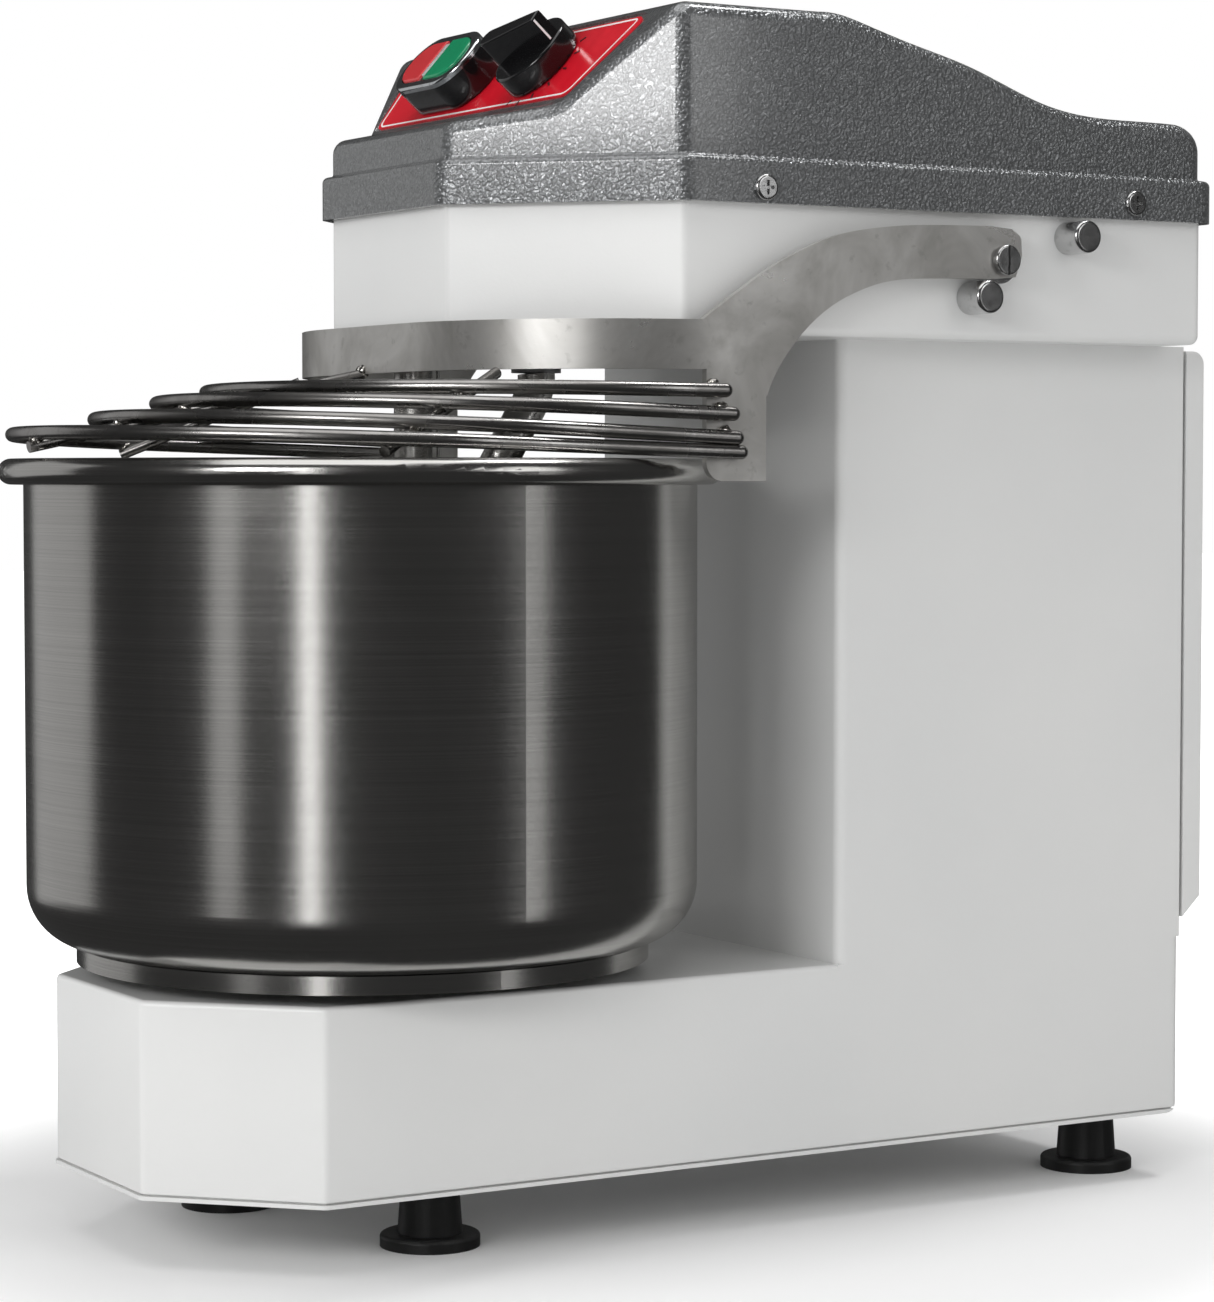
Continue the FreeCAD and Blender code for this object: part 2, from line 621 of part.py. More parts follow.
# ---------------------------------------------------------------- bowl
def line(p, q):
    return Part.makeLine(V(p[0], 0, p[1]), V(q[0], 0, q[1]))


def arc(centre, radius, start, end):
    middle = (start + end) / 2
    spots = [V(centre[0] + radius * math.cos(math.radians(a)), 0, centre[1] + radius * math.sin(math.radians(a)))
             for a in (start, middle, end)]
    return Part.Arc(spots[0], spots[1], spots[2]).toShape()


def revolved(edges):
    return Part.Face(Part.Wire(edges)).revolve(V(0, 0, 0), Z_AXIS, 360)


def bowl():
    """The upright wall with its rolled rim."""
    out_r, in_r = BOWL_R, BOWL_R - BOWL_SHEET
    low, top = BOWL_BOTTOM + BOWL_CORNER, RIM_Z + RIM_BEAD / 2
    wall = ring(0, 0, low, top, in_r, out_r)
    bead = Part.makeTorus(RIM_R - BOWL_SHEET / 5, RIM_BEAD, V(0, 0, RIM_Z), Z_AXIS)
    return wall.fuse(bead).removeSplitter()


def bowl_pan():
    """The rounded bottom that the wall runs into."""
    out_r, in_r = BOWL_R, BOWL_R - BOWL_SHEET
    low, floor = BOWL_BOTTOM, BOWL_BOTTOM + BOWL_SHEET
    corner = (out_r - BOWL_CORNER, low + BOWL_CORNER)
    edges = [line((0, low), (corner[0], low)), arc(corner, BOWL_CORNER, -90, 0)]
    edges += [line((out_r, corner[1]), (in_r, corner[1])), arc(corner, BOWL_CORNER - BOWL_SHEET, 0, -90)]
    edges += [line((corner[0], floor), (0, floor)), line((0, floor), (0, low))]
    pan = revolved(edges)
    for x, y in hub_screw_places():
        pan = pan.cut(post(x, y, low - 1, floor + 1, SCREW_R))
    return pan.removeSplitter()


def hub_screw_places():
    step = 2 * math.pi / HUB_SCREWS
    return [(HUB_SCREW_PCD_R * math.cos(i * step), HUB_SCREW_PCD_R * math.sin(i * step)) for i in range(HUB_SCREWS)]


def bowl_foot_ring():
    return ring(0, 0, FOOT_RING_BOTTOM, BOWL_BOTTOM, FOOT_RING_R - FOOT_RING_T, FOOT_RING_R)


def bowl_hub():
    hub = post(0, 0, HUB_BOTTOM, BOWL_BOTTOM, HUB_R).fuse(post(0, 0, HUB_BOSS_BOTTOM, HUB_BOTTOM, HUB_BOSS_R))
    hub = hub.cut(post(0, 0, HUB_BOSS_BOTTOM - 1, HUB_BOTTOM + 3, BOWL_SHAFT_R))
    for x, y in hub_screw_places():
        hub = hub.cut(post(x, y, HUB_BOTTOM - 1, BOWL_BOTTOM + 1, SCREW_R))
    return hub.removeSplitter()


def bowl_hub_screws():
    top = BOWL_BOTTOM + BOWL_SHEET
    screws = []
    for x, y in hub_screw_places():
        screw = post(x, y, HUB_BOTTOM, top + 0.01, SCREW_R).fuse(post(x, y, top, top + PAN_HEAD_T, PAN_HEAD_R))
        screws.append(screw.removeSplitter())
    return compound(screws)


def bowl_shaft():
    return post(0, 0, BOWL_SHAFT_BOTTOM, HUB_BOTTOM + 3, BOWL_SHAFT_R)


def bowl_bearing_housing():
    z0, z1 = BOWL_HOUSING
    flange_top = DECK_TOP - DECK_SHEET
    housing = post(0, 0, z0, z1, BOWL_HOUSING_R).fuse(post(0, 0, flange_top - BOWL_FLANGE_T, flange_top, BOWL_FLANGE_R))
    housing = housing.cut(post(0, 0, z0 - 1, z1 + 1, BOWL_SHAFT_R + 6))
    return housing.cut(post(0, 0, BOWL_BEARING_Z[0], z1 + 1, BOWL_BEARING[0])).removeSplitter()


def bowl_bearings():
    rings = [ring(0, 0, z, z + BOWL_BEARING[1], BOWL_SHAFT_R + RUNNING, BOWL_BEARING[0]) for z in BOWL_BEARING_Z]
    return compound(rings)


# ---------------------------------------------------------------- drive
def pulley(y, pitch_r, z0, bore_r, recess):
    outer = pitch_r + FLANGE_OVER
    groove = pitch_r - BELT_T / 2 - BELT_GAP
    wheel = post(0, y, z0, z0 + PULLEY_W, outer)
    wheel = wheel.cut(ring(0, y, z0 + FLANGE_W, z0 + PULLEY_W - FLANGE_W, groove, outer + 1))
    if recess:
        inner, rim, depth = bore_r + 9, groove - 6, PULLEY_W * 0.3
        wheel = wheel.cut(ring(0, y, z0 - 1, z0 + depth, inner, rim))
        wheel = wheel.cut(ring(0, y, z0 + PULLEY_W - depth, z0 + PULLEY_W + 1, inner, rim))
    return wheel.cut(post(0, y, z0 - 1, z0 + PULLEY_W + 1, bore_r)).removeSplitter()


def strap(y0, r0, y1, r1, z0, z1):
    """The area a belt encloses: two circles and the tangents between them."""
    span = y1 - y0
    lean = math.asin((r0 - r1) / span)
    c, s = math.cos(lean), math.sin(lean)
    points = [(r0 * c, y0 + r0 * s), (r1 * c, y1 + r1 * s), (-r1 * c, y1 + r1 * s), (-r0 * c, y0 + r0 * s)]
    return prism_z(points, z0, z1).fuse([post(0, y0, z0, z1, r0), post(0, y1, z0, z1, r1)]).removeSplitter()


def belt(y0, pitch0, y1, pitch1, pulley_z):
    z0 = pulley_z + (PULLEY_W - BELT_W) / 2
    z1 = z0 + BELT_W
    half = BELT_T / 2
    outer = strap(y0, pitch0 + half, y1, pitch1 + half, z0, z1)
    inner = strap(y0, pitch0 - half, y1, pitch1 - half, z0 - 1, z1 + 1)
    return outer.cut(inner)


def counter_shaft():
    shaft = post(0, COUNTER_Y, COUNTER_SHAFT[0], COUNTER_SHAFT[1], COUNTER_SHAFT_R)
    collar_z = CROSS_BARS[0] + CROSS_BAR_H + BELT_GAP
    return shaft.fuse(post(0, COUNTER_Y, collar_z, collar_z + 5, COUNTER_SHAFT_R + 4)).removeSplitter()


def cross_bars():
    half = BODY_HALF - SHEET
    bars = []
    for z in CROSS_BARS:
        bar = box(-half, half, COUNTER_Y - CROSS_BAR_HALF_Y, COUNTER_Y + CROSS_BAR_HALF_Y, z, z + CROSS_BAR_H)
        bars.append(bar.cut(post(0, COUNTER_Y, z - 1, z + CROSS_BAR_H + 1, COUNTER_SHAFT_R + RUNNING)))
    return compound(bars)


def spiral_bearing_housing():
    z0, z1 = SPIRAL_HOUSING
    floor = HEAD_BOTTOM + DECK_SHEET
    housing = post(0, SPIRAL_Y, z0, z1, SPIRAL_HOUSING_R)
    housing = housing.fuse(post(0, SPIRAL_Y, floor, floor + SPIRAL_FLANGE_T, SPIRAL_FLANGE_R))
    housing = housing.cut(post(0, SPIRAL_Y, z0 - 1, z1 + 1, SPIRAL_SHAFT_R + 2))
    housing = housing.cut(post(0, SPIRAL_Y, SPIRAL_BEARING_Z[0], z1 + 1, SPIRAL_BEARING[0]))
    return housing.removeSplitter()


def spiral_bearings():
    r_out, width = SPIRAL_BEARING
    return compound([ring(0, SPIRAL_Y, z, z + width, SPIRAL_SHAFT_R + RUNNING, r_out) for z in SPIRAL_BEARING_Z])


def motor_body():
    body = post(0, MOTOR_Y, MOTOR_Z[0], MOTOR_Z[1], MOTOR_R - 4)
    fins = []
    for i in range(MOTOR_FINS):
        fin = box(MOTOR_R - 8, MOTOR_R, -1.5, 1.5, MOTOR_Z[0] + 40, MOTOR_Z[1] - 12)
        fin.rotate(V(0, 0, 0), Z_AXIS, 360.0 * i / MOTOR_FINS)
        fin.translate(V(0, MOTOR_Y, 0))
        fins.append(fin)
    return body.fuse(fins).removeSplitter()


def motor_gearbox():
    half = GEARBOX_HALF
    case = box(-half, half, MOTOR_Y - half, MOTOR_Y + half, MOTOR_Z[1], GEARBOX_TOP)
    case = round_edges(case, CORNER_ROUND * 3, upright)
    case = case.fuse(post(0, MOTOR_Y, GEARBOX_TOP, BRACKET[2], half + 3))
    case = case.fuse(post(0, MOTOR_Y, BRACKET[2], BRACKET[3] + 4, MOTOR_BOSS_R))
    return case.cut(post(0, MOTOR_Y, MOTOR_SHAFT_BOTTOM - 1, BRACKET[3] + 5, MOTOR_SHAFT_R + RUNNING)).removeSplitter()


def motor_bracket():
    half = BODY_HALF - SHEET
    plate = box(-half, half, BRACKET[0], BRACKET[1], BRACKET[2], BRACKET[3])
    return plate.cut(post(0, MOTOR_Y, BRACKET[2] - 1, BRACKET[3] + 1, MOTOR_BOSS_R + RUNNING))


def capacitor():
    can_r = 20.0
    can = post(-62, COLUMN_FRONT + SHEET + can_r, 150, 240, can_r)
    return round_edges(can, 2.0, at_height(240))


def control_box():
    case = box(40, 85, COLUMN_FRONT + SHEET, COLUMN_FRONT + SHEET + 33, 150, 250)
    return case.fuse(box(44, 81, COLUMN_FRONT + SHEET + 33, COLUMN_FRONT + SHEET + 38, 170, 230)).removeSplitter()


def guard_switch():
    wall = HEAD_HALF - SHEET
    case = box(wall - 16, wall, PIVOT[0] - 22, PIVOT[0] + 22, PIVOT[1] + 9, PIVOT[1] + 37)
    return case.fuse(box(wall - 9, wall - 6, PIVOT[0] - 8, PIVOT[0] + 8, PIVOT[1] + 6.5, PIVOT[1] + 9)).removeSplitter()


# ---------------------------------------------------------------- dough tools
def hook_path():
    """The rod leaves the shaft straight down, swings out to the front and winds round the axis to the floor."""
    neck = [(0, 0, SPIRAL_SHAFT[0]), (0, 0, LIP + 304), (0, -6.5, LIP + 290), (0, -15.5, LIP + 275)]
    points = [V(x, SPIRAL_Y + y, z) for x, y, z in neck]
    start_z = LIP + 262
    for i in range(HOOK_STEPS + 1):
        t = i / HOOK_STEPS
        grow = min(1.0, 0.62 + 2.2 * t)
        curl = 1.0 - 0.45 * max(0.0, (t - 0.85) / 0.15) ** 2
        radius = HOOK_R * grow * curl
        angle = math.radians(-88 + HOOK_TURN * t)
        z = start_z + (HOOK_BOTTOM - start_z) * (t if t < 0.9 else 0.9 + (t - 0.9) * (1.0 - 0.5 * (t - 0.9) / 0.1))
        points.append(V(radius * math.cos(angle), SPIRAL_Y + radius * math.sin(angle), z))
    return points


def spiral_hook():
    points = hook_path()
    curve = Part.BSplineCurve()
    curve.interpolate(points)
    path = Part.Wire(curve.toShape())
    profile = Part.Wire(Part.makeCircle(ROD_R, points[0], curve.tangent(curve.FirstParameter)[0]))
    rod = path.makePipeShell([profile], True, True)
    tip = Part.makeSphere(ROD_R, points[-1])
    return rod.fuse(tip).removeSplitter()


def spiral_shaft():
    return post(0, SPIRAL_Y, SPIRAL_SHAFT[0], SPIRAL_SHAFT[1], SPIRAL_SHAFT_R)


def breaker_bar():
    rod = post(0, BREAKER_Y, BREAKER_BOTTOM, HEAD_BOTTOM, BREAKER_R)
    rod = round_edges(rod, BREAKER_R * 0.8, at_height(BREAKER_BOTTOM))
    return rod.fuse(post(0, BREAKER_Y, HEAD_BOTTOM, HEAD_BOTTOM + 17, STUD_R)).removeSplitter()


def breaker_bar_nut():
    z0 = HEAD_BOTTOM + DECK_SHEET
    nut = hex_post(0, BREAKER_Y, z0, z0 + 10, STUD_R * 1.9)
    return nut.cut(post(0, BREAKER_Y, z0 - 1, z0 + 11, STUD_R))


# ---------------------------------------------------------------- guard
def guard_profile():
    """Side view of the sheet: a low band in front, a tab beside the bowl, and a curved arm up to the pivot."""
    spot = lambda y, z: V(0, y, z)
    low = [spot(y, LIP + z) for y, z in ARM_LOW]
    top = [spot(y, LIP + z) for y, z in ARM_TOP]
    tail = [spot(y, LIP + z) for y, z in TAIL]
    low_curve = Part.BSplineCurve()
    low_curve.interpolate(low)
    top_curve = Part.BSplineCurve()
    top_curve.interpolate(top)
    front = -GUARD_T * 2
    tail_end = math.radians(-50)
    nose = [spot(PIVOT[0] + TAIL_R, PIVOT[1] + 2), spot(PIVOT[0] + TAIL_R * math.cos(tail_end),
            PIVOT[1] + TAIL_R * math.sin(tail_end))]
    outline = [spot(TAB[1], low[-1].z), spot(TAB[1], TAB[2]), spot(TAB[0], TAB[2]), spot(TAB[0], BAND[0])]
    outline += [spot(front, BAND[0]), spot(front, BAND[1]), spot(ARM_TOP[0][0] - 6.6, BAND[1]), top[0]]
    edges = [low_curve.toShape(), Part.makeLine(low[-1], outline[0])]
    edges += [Part.makeLine(outline[i], outline[i + 1]) for i in range(len(outline) - 1)]
    edges += [top_curve.toShape(), Part.makeLine(top[-1], tail[0]), Part.makeLine(tail[0], tail[1])]
    edges += [Part.makeLine(tail[1], nose[0]), Part.makeLine(nose[0], nose[1]), Part.makeLine(nose[1], low[0])]
    return Part.Face(Part.Wire(edges))


def guard_plan(z0, z1):
    rear = PIVOT[0] + TAIL_R * 3

    def plan(out):
        r = GUARD_CORNER_R + out
        cx = GUARD_IN - GUARD_CORNER_R
        side = GUARD_IN + out
        area = box(-side, side, GUARD_CORNER_Y, rear, z0, z1)
        area = area.fuse(box(-cx, cx, GUARD_CORNER_Y - r, GUARD_CORNER_Y, z0, z1))
        area = area.fuse(post(-cx, GUARD_CORNER_Y, z0, z1, r)).fuse(post(cx, GUARD_CORNER_Y, z0, z1, r))
        return area.removeSplitter()
    rear_cut = box(-GUARD_IN, GUARD_IN, rear - 1, rear + 1, z0, z1)
    return plan(GUARD_T).cut(plan(0)).cut(rear_cut)


def guard_plate():
    slab = guard_profile()
    slab.translate(V(-GUARD_IN * 1.5, 0, 0))
    slab = slab.extrude(V(GUARD_IN * 3, 0, 0))
    slab = round_edges(slab, TAB_ROUND, along_x_at(TAB[0], TAB[2]))
    slab = round_edges(slab, TAIL_ROUND, along_x_at(TAIL[1][0], LIP + TAIL[1][1]))
    plate = guard_plan(TAB[2] - 5, LIP + 370).common(slab)
    hole = bar_x(-GUARD_IN * 1.5, GUARD_IN * 1.5, PIVOT[0], PIVOT[1], PIVOT_R + RUNNING)
    return plate.cut(hole).removeSplitter()


def hoop(centre_y, front_z, end_z, end_y):
    front_y = centre_y - ROD_HALF
    bend = Part.makeTorus(ROD_HALF, HOOP_R, V(0, 0, 0), Z_AXIS)
    bend = bend.common(box(-ROD_HALF * 2, ROD_HALF * 2, -ROD_HALF * 2, 0, -HOOP_R * 2, HOOP_R * 2))
    leg = end_y - centre_y
    pieces = [bar_y(side * ROD_HALF, 0, leg, 0, HOOP_R) for side in SIDES]
    pieces += [Part.makeSphere(HOOP_R, V(side * ROD_HALF, leg, 0)) for side in SIDES]
    rod = bend.fuse(pieces).removeSplitter()
    slope = math.degrees(math.atan2(end_z - front_z, end_y - front_y))
    rod.rotate(V(0, -ROD_HALF, 0), X_AXIS, slope)
    rod.translate(V(0, centre_y, LIP + front_z))
    return rod


def hoop_height(index, y):
    centre_y, front_z, end_z, end_y = HOOPS[index]
    front_y = centre_y - ROD_HALF
    return LIP + front_z + (end_z - front_z) * (y - front_y) / (end_y - front_y)


def rod_between(start, end, radius):
    span = end - start
    return Part.makeCylinder(radius, span.Length, start, span)


def strut_drop():
    return (HOOP_R + STRUT_R) * math.sqrt(1 + STRUT_RISE ** 2)


def centre_strut_ends():
    first_front = HOOPS[0][0] - ROD_HALF
    height = lambda y: LIP + HOOPS[0][1] + STRUT_RISE * (y - first_front) - strut_drop()
    near, far = GUARD_CORNER_Y - GUARD_CORNER_R - GUARD_T, HOOPS[-1][0] - ROD_HALF - HOOP_R
    return V(0, near, height(near)), V(0, far, height(far))


def crossing(index):
    """Where a side strut passes under a hoop, on the +x side."""
    (x0, y0), (x1, y1) = SIDE_STRUT
    length = math.hypot(x1 - x0, y1 - y0)
    ux, uy = (x1 - x0) / length, (y1 - y0) / length
    dy = y0 - HOOPS[index][0]
    b = x0 * ux + dy * uy
    c = x0 * x0 + dy * dy - ROD_HALF ** 2
    t = -b + math.sqrt(b * b - c)
    return x0 + ux * t, y0 + uy * t


def side_strut_ends(side):
    (x0, y0), (x1, y1) = SIDE_STRUT
    spots = [crossing(0), crossing(len(HOOPS) - 1)]
    heights = [hoop_height(0, spots[0][1]), hoop_height(len(HOOPS) - 1, spots[1][1])]
    rise = (heights[1] - heights[0]) / math.dist(spots[0], spots[1])
    run0 = math.dist((x0, y0), spots[0])
    start_z = heights[0] - rise * run0 - strut_drop()
    end_z = start_z + rise * math.dist((x0, y0), (x1, y1))
    return V(side * x0, y0, start_z), V(side * x1, y1, end_z)


def guard_struts():
    lines = [centre_strut_ends()] + [side_strut_ends(side) for side in SIDES]
    return compound([rod_between(start, end, STRUT_R) for start, end in lines])


def guard_hoops():
    return compound([hoop(*measures) for measures in HOOPS])


def guard_welds():
    """Small beads where the hoop ends meet the tabs."""
    beads = []
    for index in range(len(HOOPS)):
        for side in SIDES:
            y = HOOPS[index][3] - 4
            z = hoop_height(index, y) + HOOP_R * 0.75
            beads.append(Part.makeSphere(WELD_R, V(side * (GUARD_IN + GUARD_T + 0.9), y, z)))
    return compound(beads)


def guard_pivot_bolts():
    def bolt(side):
        wall, plate_out = HEAD_HALF, GUARD_IN + GUARD_T
        collar = bar_x(side * wall, side * (GUARD_IN - 0.3), PIVOT[0], PIVOT[1], PIVOT_COLLAR_R)
        shoulder = bar_x(side * wall, side * (plate_out + 0.3), PIVOT[0], PIVOT[1], PIVOT_R)
        stud = bar_x(side * (wall - 8), side * wall, PIVOT[0], PIVOT[1], SCREW_R * 2)
        face = side * (plate_out + 3.1)
        head = bar_x(side * (plate_out + 0.3), face, PIVOT[0], PIVOT[1], PIVOT_HEAD_R)
        rim = lambda edge: abs(edge.BoundBox.XMin - face) < 0.01 and abs(edge.BoundBox.XMax - face) < 0.01
        head = round_edges(head, 0.8, rim)
        x0, x1 = sorted((face, face - side * 1.2))
        slot = box(x0, x1, PIVOT[0] - 0.6, PIVOT[0] + 0.6, PIVOT[1] - PIVOT_HEAD_R, PIVOT[1] + PIVOT_HEAD_R)
        return collar.fuse([shoulder, stud, head.cut(slot)]).removeSplitter()
    return both_sides(bolt)


def stop_pins():
    def pin(side, y, z):
        end = side * PIN_END
        body = bar_x(side * HEAD_HALF, end, y, z, PIN_R)
        rim = lambda edge: abs(edge.BoundBox.XMin - end) < 0.01 and abs(edge.BoundBox.XMax - end) < 0.01
        body = round_edges(body, 1.4, rim)
        return body.fuse(bar_x(side * (HEAD_HALF - 7), side * HEAD_HALF, y, z, PIN_STUB_R)).removeSplitter()
    return compound([pin(side, y, z) for side in SIDES for y, z in PINS])


# ---------------------------------------------------------------- rear cover, feet and fittings
def rear_panel():
    """A shallow tray over the service opening, rounded along its top and sloped along its foot."""
    z0, z1 = TRAY
    front, rear = BASE_REAR + TRAY_GAP, BASE_REAR + TRAY_DEPTH

    def tray(half, back, low, high, slope, start):
        spots = [V(-half, start, low), V(-half, back, low + slope), V(-half, back, high), V(-half, start, high)]
        side = Part.Face(Part.makePolygon(spots + spots[:1]))
        return side.extrude(V(half * 2, 0, 0))
    outer = round_edges(tray(TRAY_HALF, rear, z0, z1, TRAY_SLOPE, front), TRAY_TOP_ROUND, along_x_at(rear, z1))
    outer = round_edges(outer, 1.0, lambda edge: edge.BoundBox.YMin > rear - 0.01 and edge.BoundBox.ZLength > 20)
    inner = tray(TRAY_HALF - TRAY_WALL, rear - TRAY_WALL, z0 + TRAY_WALL, z1 - TRAY_WALL - 2, TRAY_SLOPE, front - 1)
    panel = outer.cut(inner)
    for x, z in tray_screw_places():
        panel = panel.fuse(bar_y(x, front, rear - TRAY_WALL / 2, z, TRAY_BOSS_R))
        panel = panel.cut(bar_y(x, front - 1, rear + 1, z, SCREW_R))
        panel = panel.cut(bar_y(x, rear - COUNTERSINK, rear + 1, z, PAN_HEAD_R * 0.8))
    return panel.removeSplitter()


def rear_panel_gasket():
    z0, z1 = TRAY
    half, low, high = TRAY_HALF - GASKET_INSET, z0 + GASKET_INSET, z1 - GASKET_INSET
    front, back = BASE_REAR, BASE_REAR + TRAY_GAP
    gasket = box(-half, half, front, back, low, high)
    width = GASKET_WIDTH + GASKET_INSET * 2
    gasket = gasket.cut(box(-half + width, half - width, front - 1, back + 1, low + width, high - width))
    for x, z in tray_screw_places():
        gasket = gasket.cut(bar_y(x, front - 1, back + 1, z, SCREW_R))
    return gasket


def rear_panel_screws():
    face = BASE_REAR + TRAY_DEPTH - COUNTERSINK
    screws = []
    for x, z in tray_screw_places():
        head = bar_y(x, face, face + COUNTERSINK * 1.1, z, PAN_HEAD_R * 0.8)
        screws.append(head.fuse(bar_y(x, BASE_REAR - SHEET - 2, face, z, SCREW_R)).removeSplitter())
    return compound(screws)


def feet():
    pads = []
    for x, y in FOOT_PLACES:
        disc = round_edges(post(x, y, 0, FOOT_DISC, FOOT_R), 1.5, at_height(FOOT_DISC))
        stem = Part.makeCone(FOOT_STEM[0], FOOT_STEM[1], LIP - FOOT_DISC, V(x, y, FOOT_DISC), Z_AXIS)
        pad = disc.fuse(stem).cut(post(x, y, LIP - 9, LIP + 1, SCREW_R * 2))
        pads.append(pad.removeSplitter())
    return compound(pads)


def foot_bolts():
    top = LIP + PLATE_SHEET + SEAM
    bolts = []
    for x, y in FOOT_PLACES:
        stud = post(x, y, LIP - 9, top + 6, SCREW_R * 2)
        bolts.append(stud.fuse(hex_post(x, y, top, top + 5, SCREW_R * 3.6)).removeSplitter())
    return compound(bolts)


def power_gland():
    x, z = GLAND
    hexa = Part.makePolygon([V(x + px, BASE_REAR, z + pz) for px, pz in hexagon(GLAND_HEX_R) + hexagon(GLAND_HEX_R)[:1]])
    flange = Part.Face(hexa).extrude(V(0, 5, 0))
    dome = bar_y(x, BASE_REAR + 5, GLAND_END, z, GLAND_HEX_R * 0.82)
    dome = round_edges(dome, 3.0, lambda e: e.BoundBox.YMin > GLAND_END - 0.01)
    thread = bar_y(x, BASE_REAR - SHEET - 9, BASE_REAR, z, GLAND_THREAD_R)
    gland = flange.fuse([dome, thread])
    return gland.cut(bar_y(x, BASE_REAR - 20, GLAND_END + 1, z, GLAND_BORE_R)).removeSplitter()


def gland_nut():
    x, z = GLAND
    face = BASE_REAR - SHEET - 5
    hexa = Part.makePolygon([V(x + px, face, z + pz) for px, pz in hexagon(GLAND_HEX_R) + hexagon(GLAND_HEX_R)[:1]])
    nut = Part.Face(hexa).extrude(V(0, 5, 0))
    return nut.cut(bar_y(x, face - 1, face + 6, z, GLAND_THREAD_R))


NODES = {
    "base_plate": base_plate,
    "base_shell": base_shell,
    "column_shell": column_shell,
    "head_shell": head_shell,
    "top_cover": top_cover,
    "cover_screws": cover_screws,
    "control_label": control_label,
    "dial_ticks": dial_ticks,
    "button_housing": button_housing,
    "button_bezel": button_bezel,
    "stop_button": lambda: button_cap(-1),
    "start_button": lambda: button_cap(1),
    "timer_knob": timer_knob,
    "knob_pointer": knob_pointer,
    "timer_body": timer_body,
    "bowl": bowl,
    "bowl_pan": bowl_pan,
    "bowl_foot_ring": bowl_foot_ring,
    "bowl_hub": bowl_hub,
    "bowl_hub_screws": bowl_hub_screws,
    "bowl_shaft": bowl_shaft,
    "bowl_pulley": lambda: pulley(0, BOWL_PULLEY[0], BOWL_PULLEY[1], BOWL_SHAFT_R, True),
    "bowl_bearing_housing": bowl_bearing_housing,
    "bowl_bearings": bowl_bearings,
    "bowl_belt": lambda: belt(0, BOWL_PULLEY[0], COUNTER_Y, COUNTER_LOW_PULLEY, BOWL_PULLEY[1]),
    "counter_shaft": counter_shaft,
    "counter_low_pulley": lambda: pulley(COUNTER_Y, COUNTER_LOW_PULLEY, BOWL_PULLEY[1], COUNTER_SHAFT_R, False),
    "counter_motor_pulley": lambda: pulley(COUNTER_Y, COUNTER_MOTOR_PULLEY, MOTOR_PULLEY[1], COUNTER_SHAFT_R, True),
    "counter_spiral_pulley": lambda: pulley(COUNTER_Y, COUNTER_SPIRAL_PULLEY, SPIRAL_PULLEY[1], COUNTER_SHAFT_R, True),
    "cross_bars": cross_bars,
    "spiral_hook": spiral_hook,
    "spiral_shaft": spiral_shaft,
    "spiral_pulley": lambda: pulley(SPIRAL_Y, SPIRAL_PULLEY[0], SPIRAL_PULLEY[1], SPIRAL_SHAFT_R, False),
    "spiral_bearing_housing": spiral_bearing_housing,
    "spiral_bearings": spiral_bearings,
    "spiral_belt": lambda: belt(SPIRAL_Y, SPIRAL_PULLEY[0], COUNTER_Y, COUNTER_SPIRAL_PULLEY, SPIRAL_PULLEY[1]),
    "motor_body": motor_body,
    "motor_gearbox": motor_gearbox,
    "motor_bracket": motor_bracket,
    "motor_shaft": lambda: post(0, MOTOR_Y, MOTOR_SHAFT_BOTTOM, MOTOR_PULLEY[1] + PULLEY_W + 2, MOTOR_SHAFT_R),
    "motor_pulley": lambda: pulley(MOTOR_Y, MOTOR_PULLEY[0], MOTOR_PULLEY[1], MOTOR_SHAFT_R, False),
    "motor_belt": lambda: belt(COUNTER_Y, COUNTER_MOTOR_PULLEY, MOTOR_Y, MOTOR_PULLEY[0], MOTOR_PULLEY[1]),
    "capacitor": capacitor,
    "control_box": control_box,
    "guard_switch": guard_switch,
    "breaker_bar": breaker_bar,
    "breaker_bar_nut": breaker_bar_nut,
    "guard_plate": guard_plate,
    "guard_hoops": guard_hoops,
    "guard_struts": guard_struts,
    "guard_welds": guard_welds,
    "guard_pivot_bolts": guard_pivot_bolts,
    "stop_pins": stop_pins,
    "rear_panel": rear_panel,
    "rear_panel_gasket": rear_panel_gasket,
    "rear_panel_screws": rear_panel_screws,
    "feet": feet,
    "foot_bolts": foot_bolts,
    "power_gland": power_gland,
    "gland_nut": gland_nut,
}


def main():
    os.makedirs("parts", exist_ok=True)
    for name, make in NODES.items():
        save(name, make())


main()
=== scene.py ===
# %% [markdown]
# # A table-top spiral dough mixer
# The machine's shape is already made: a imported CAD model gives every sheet, rod, screw and pulley as its
# own object, in metres, with the ground at z = 0. This lesson dresses it. It sets a camera and a plain
# studio, gives every surface a finish that is built from nodes, and models the few small things that a
# CAD program leaves out: the uneven weld beads, the pilot lens between the two caps, and the printed line
# round the panel film.

# %% Load the machine
import json
import math

import bmesh
import bpy
from mathutils import Matrix, Vector
from mathutils.bvhtree import BVHTree
from mathutils.noise import noise as value_noise


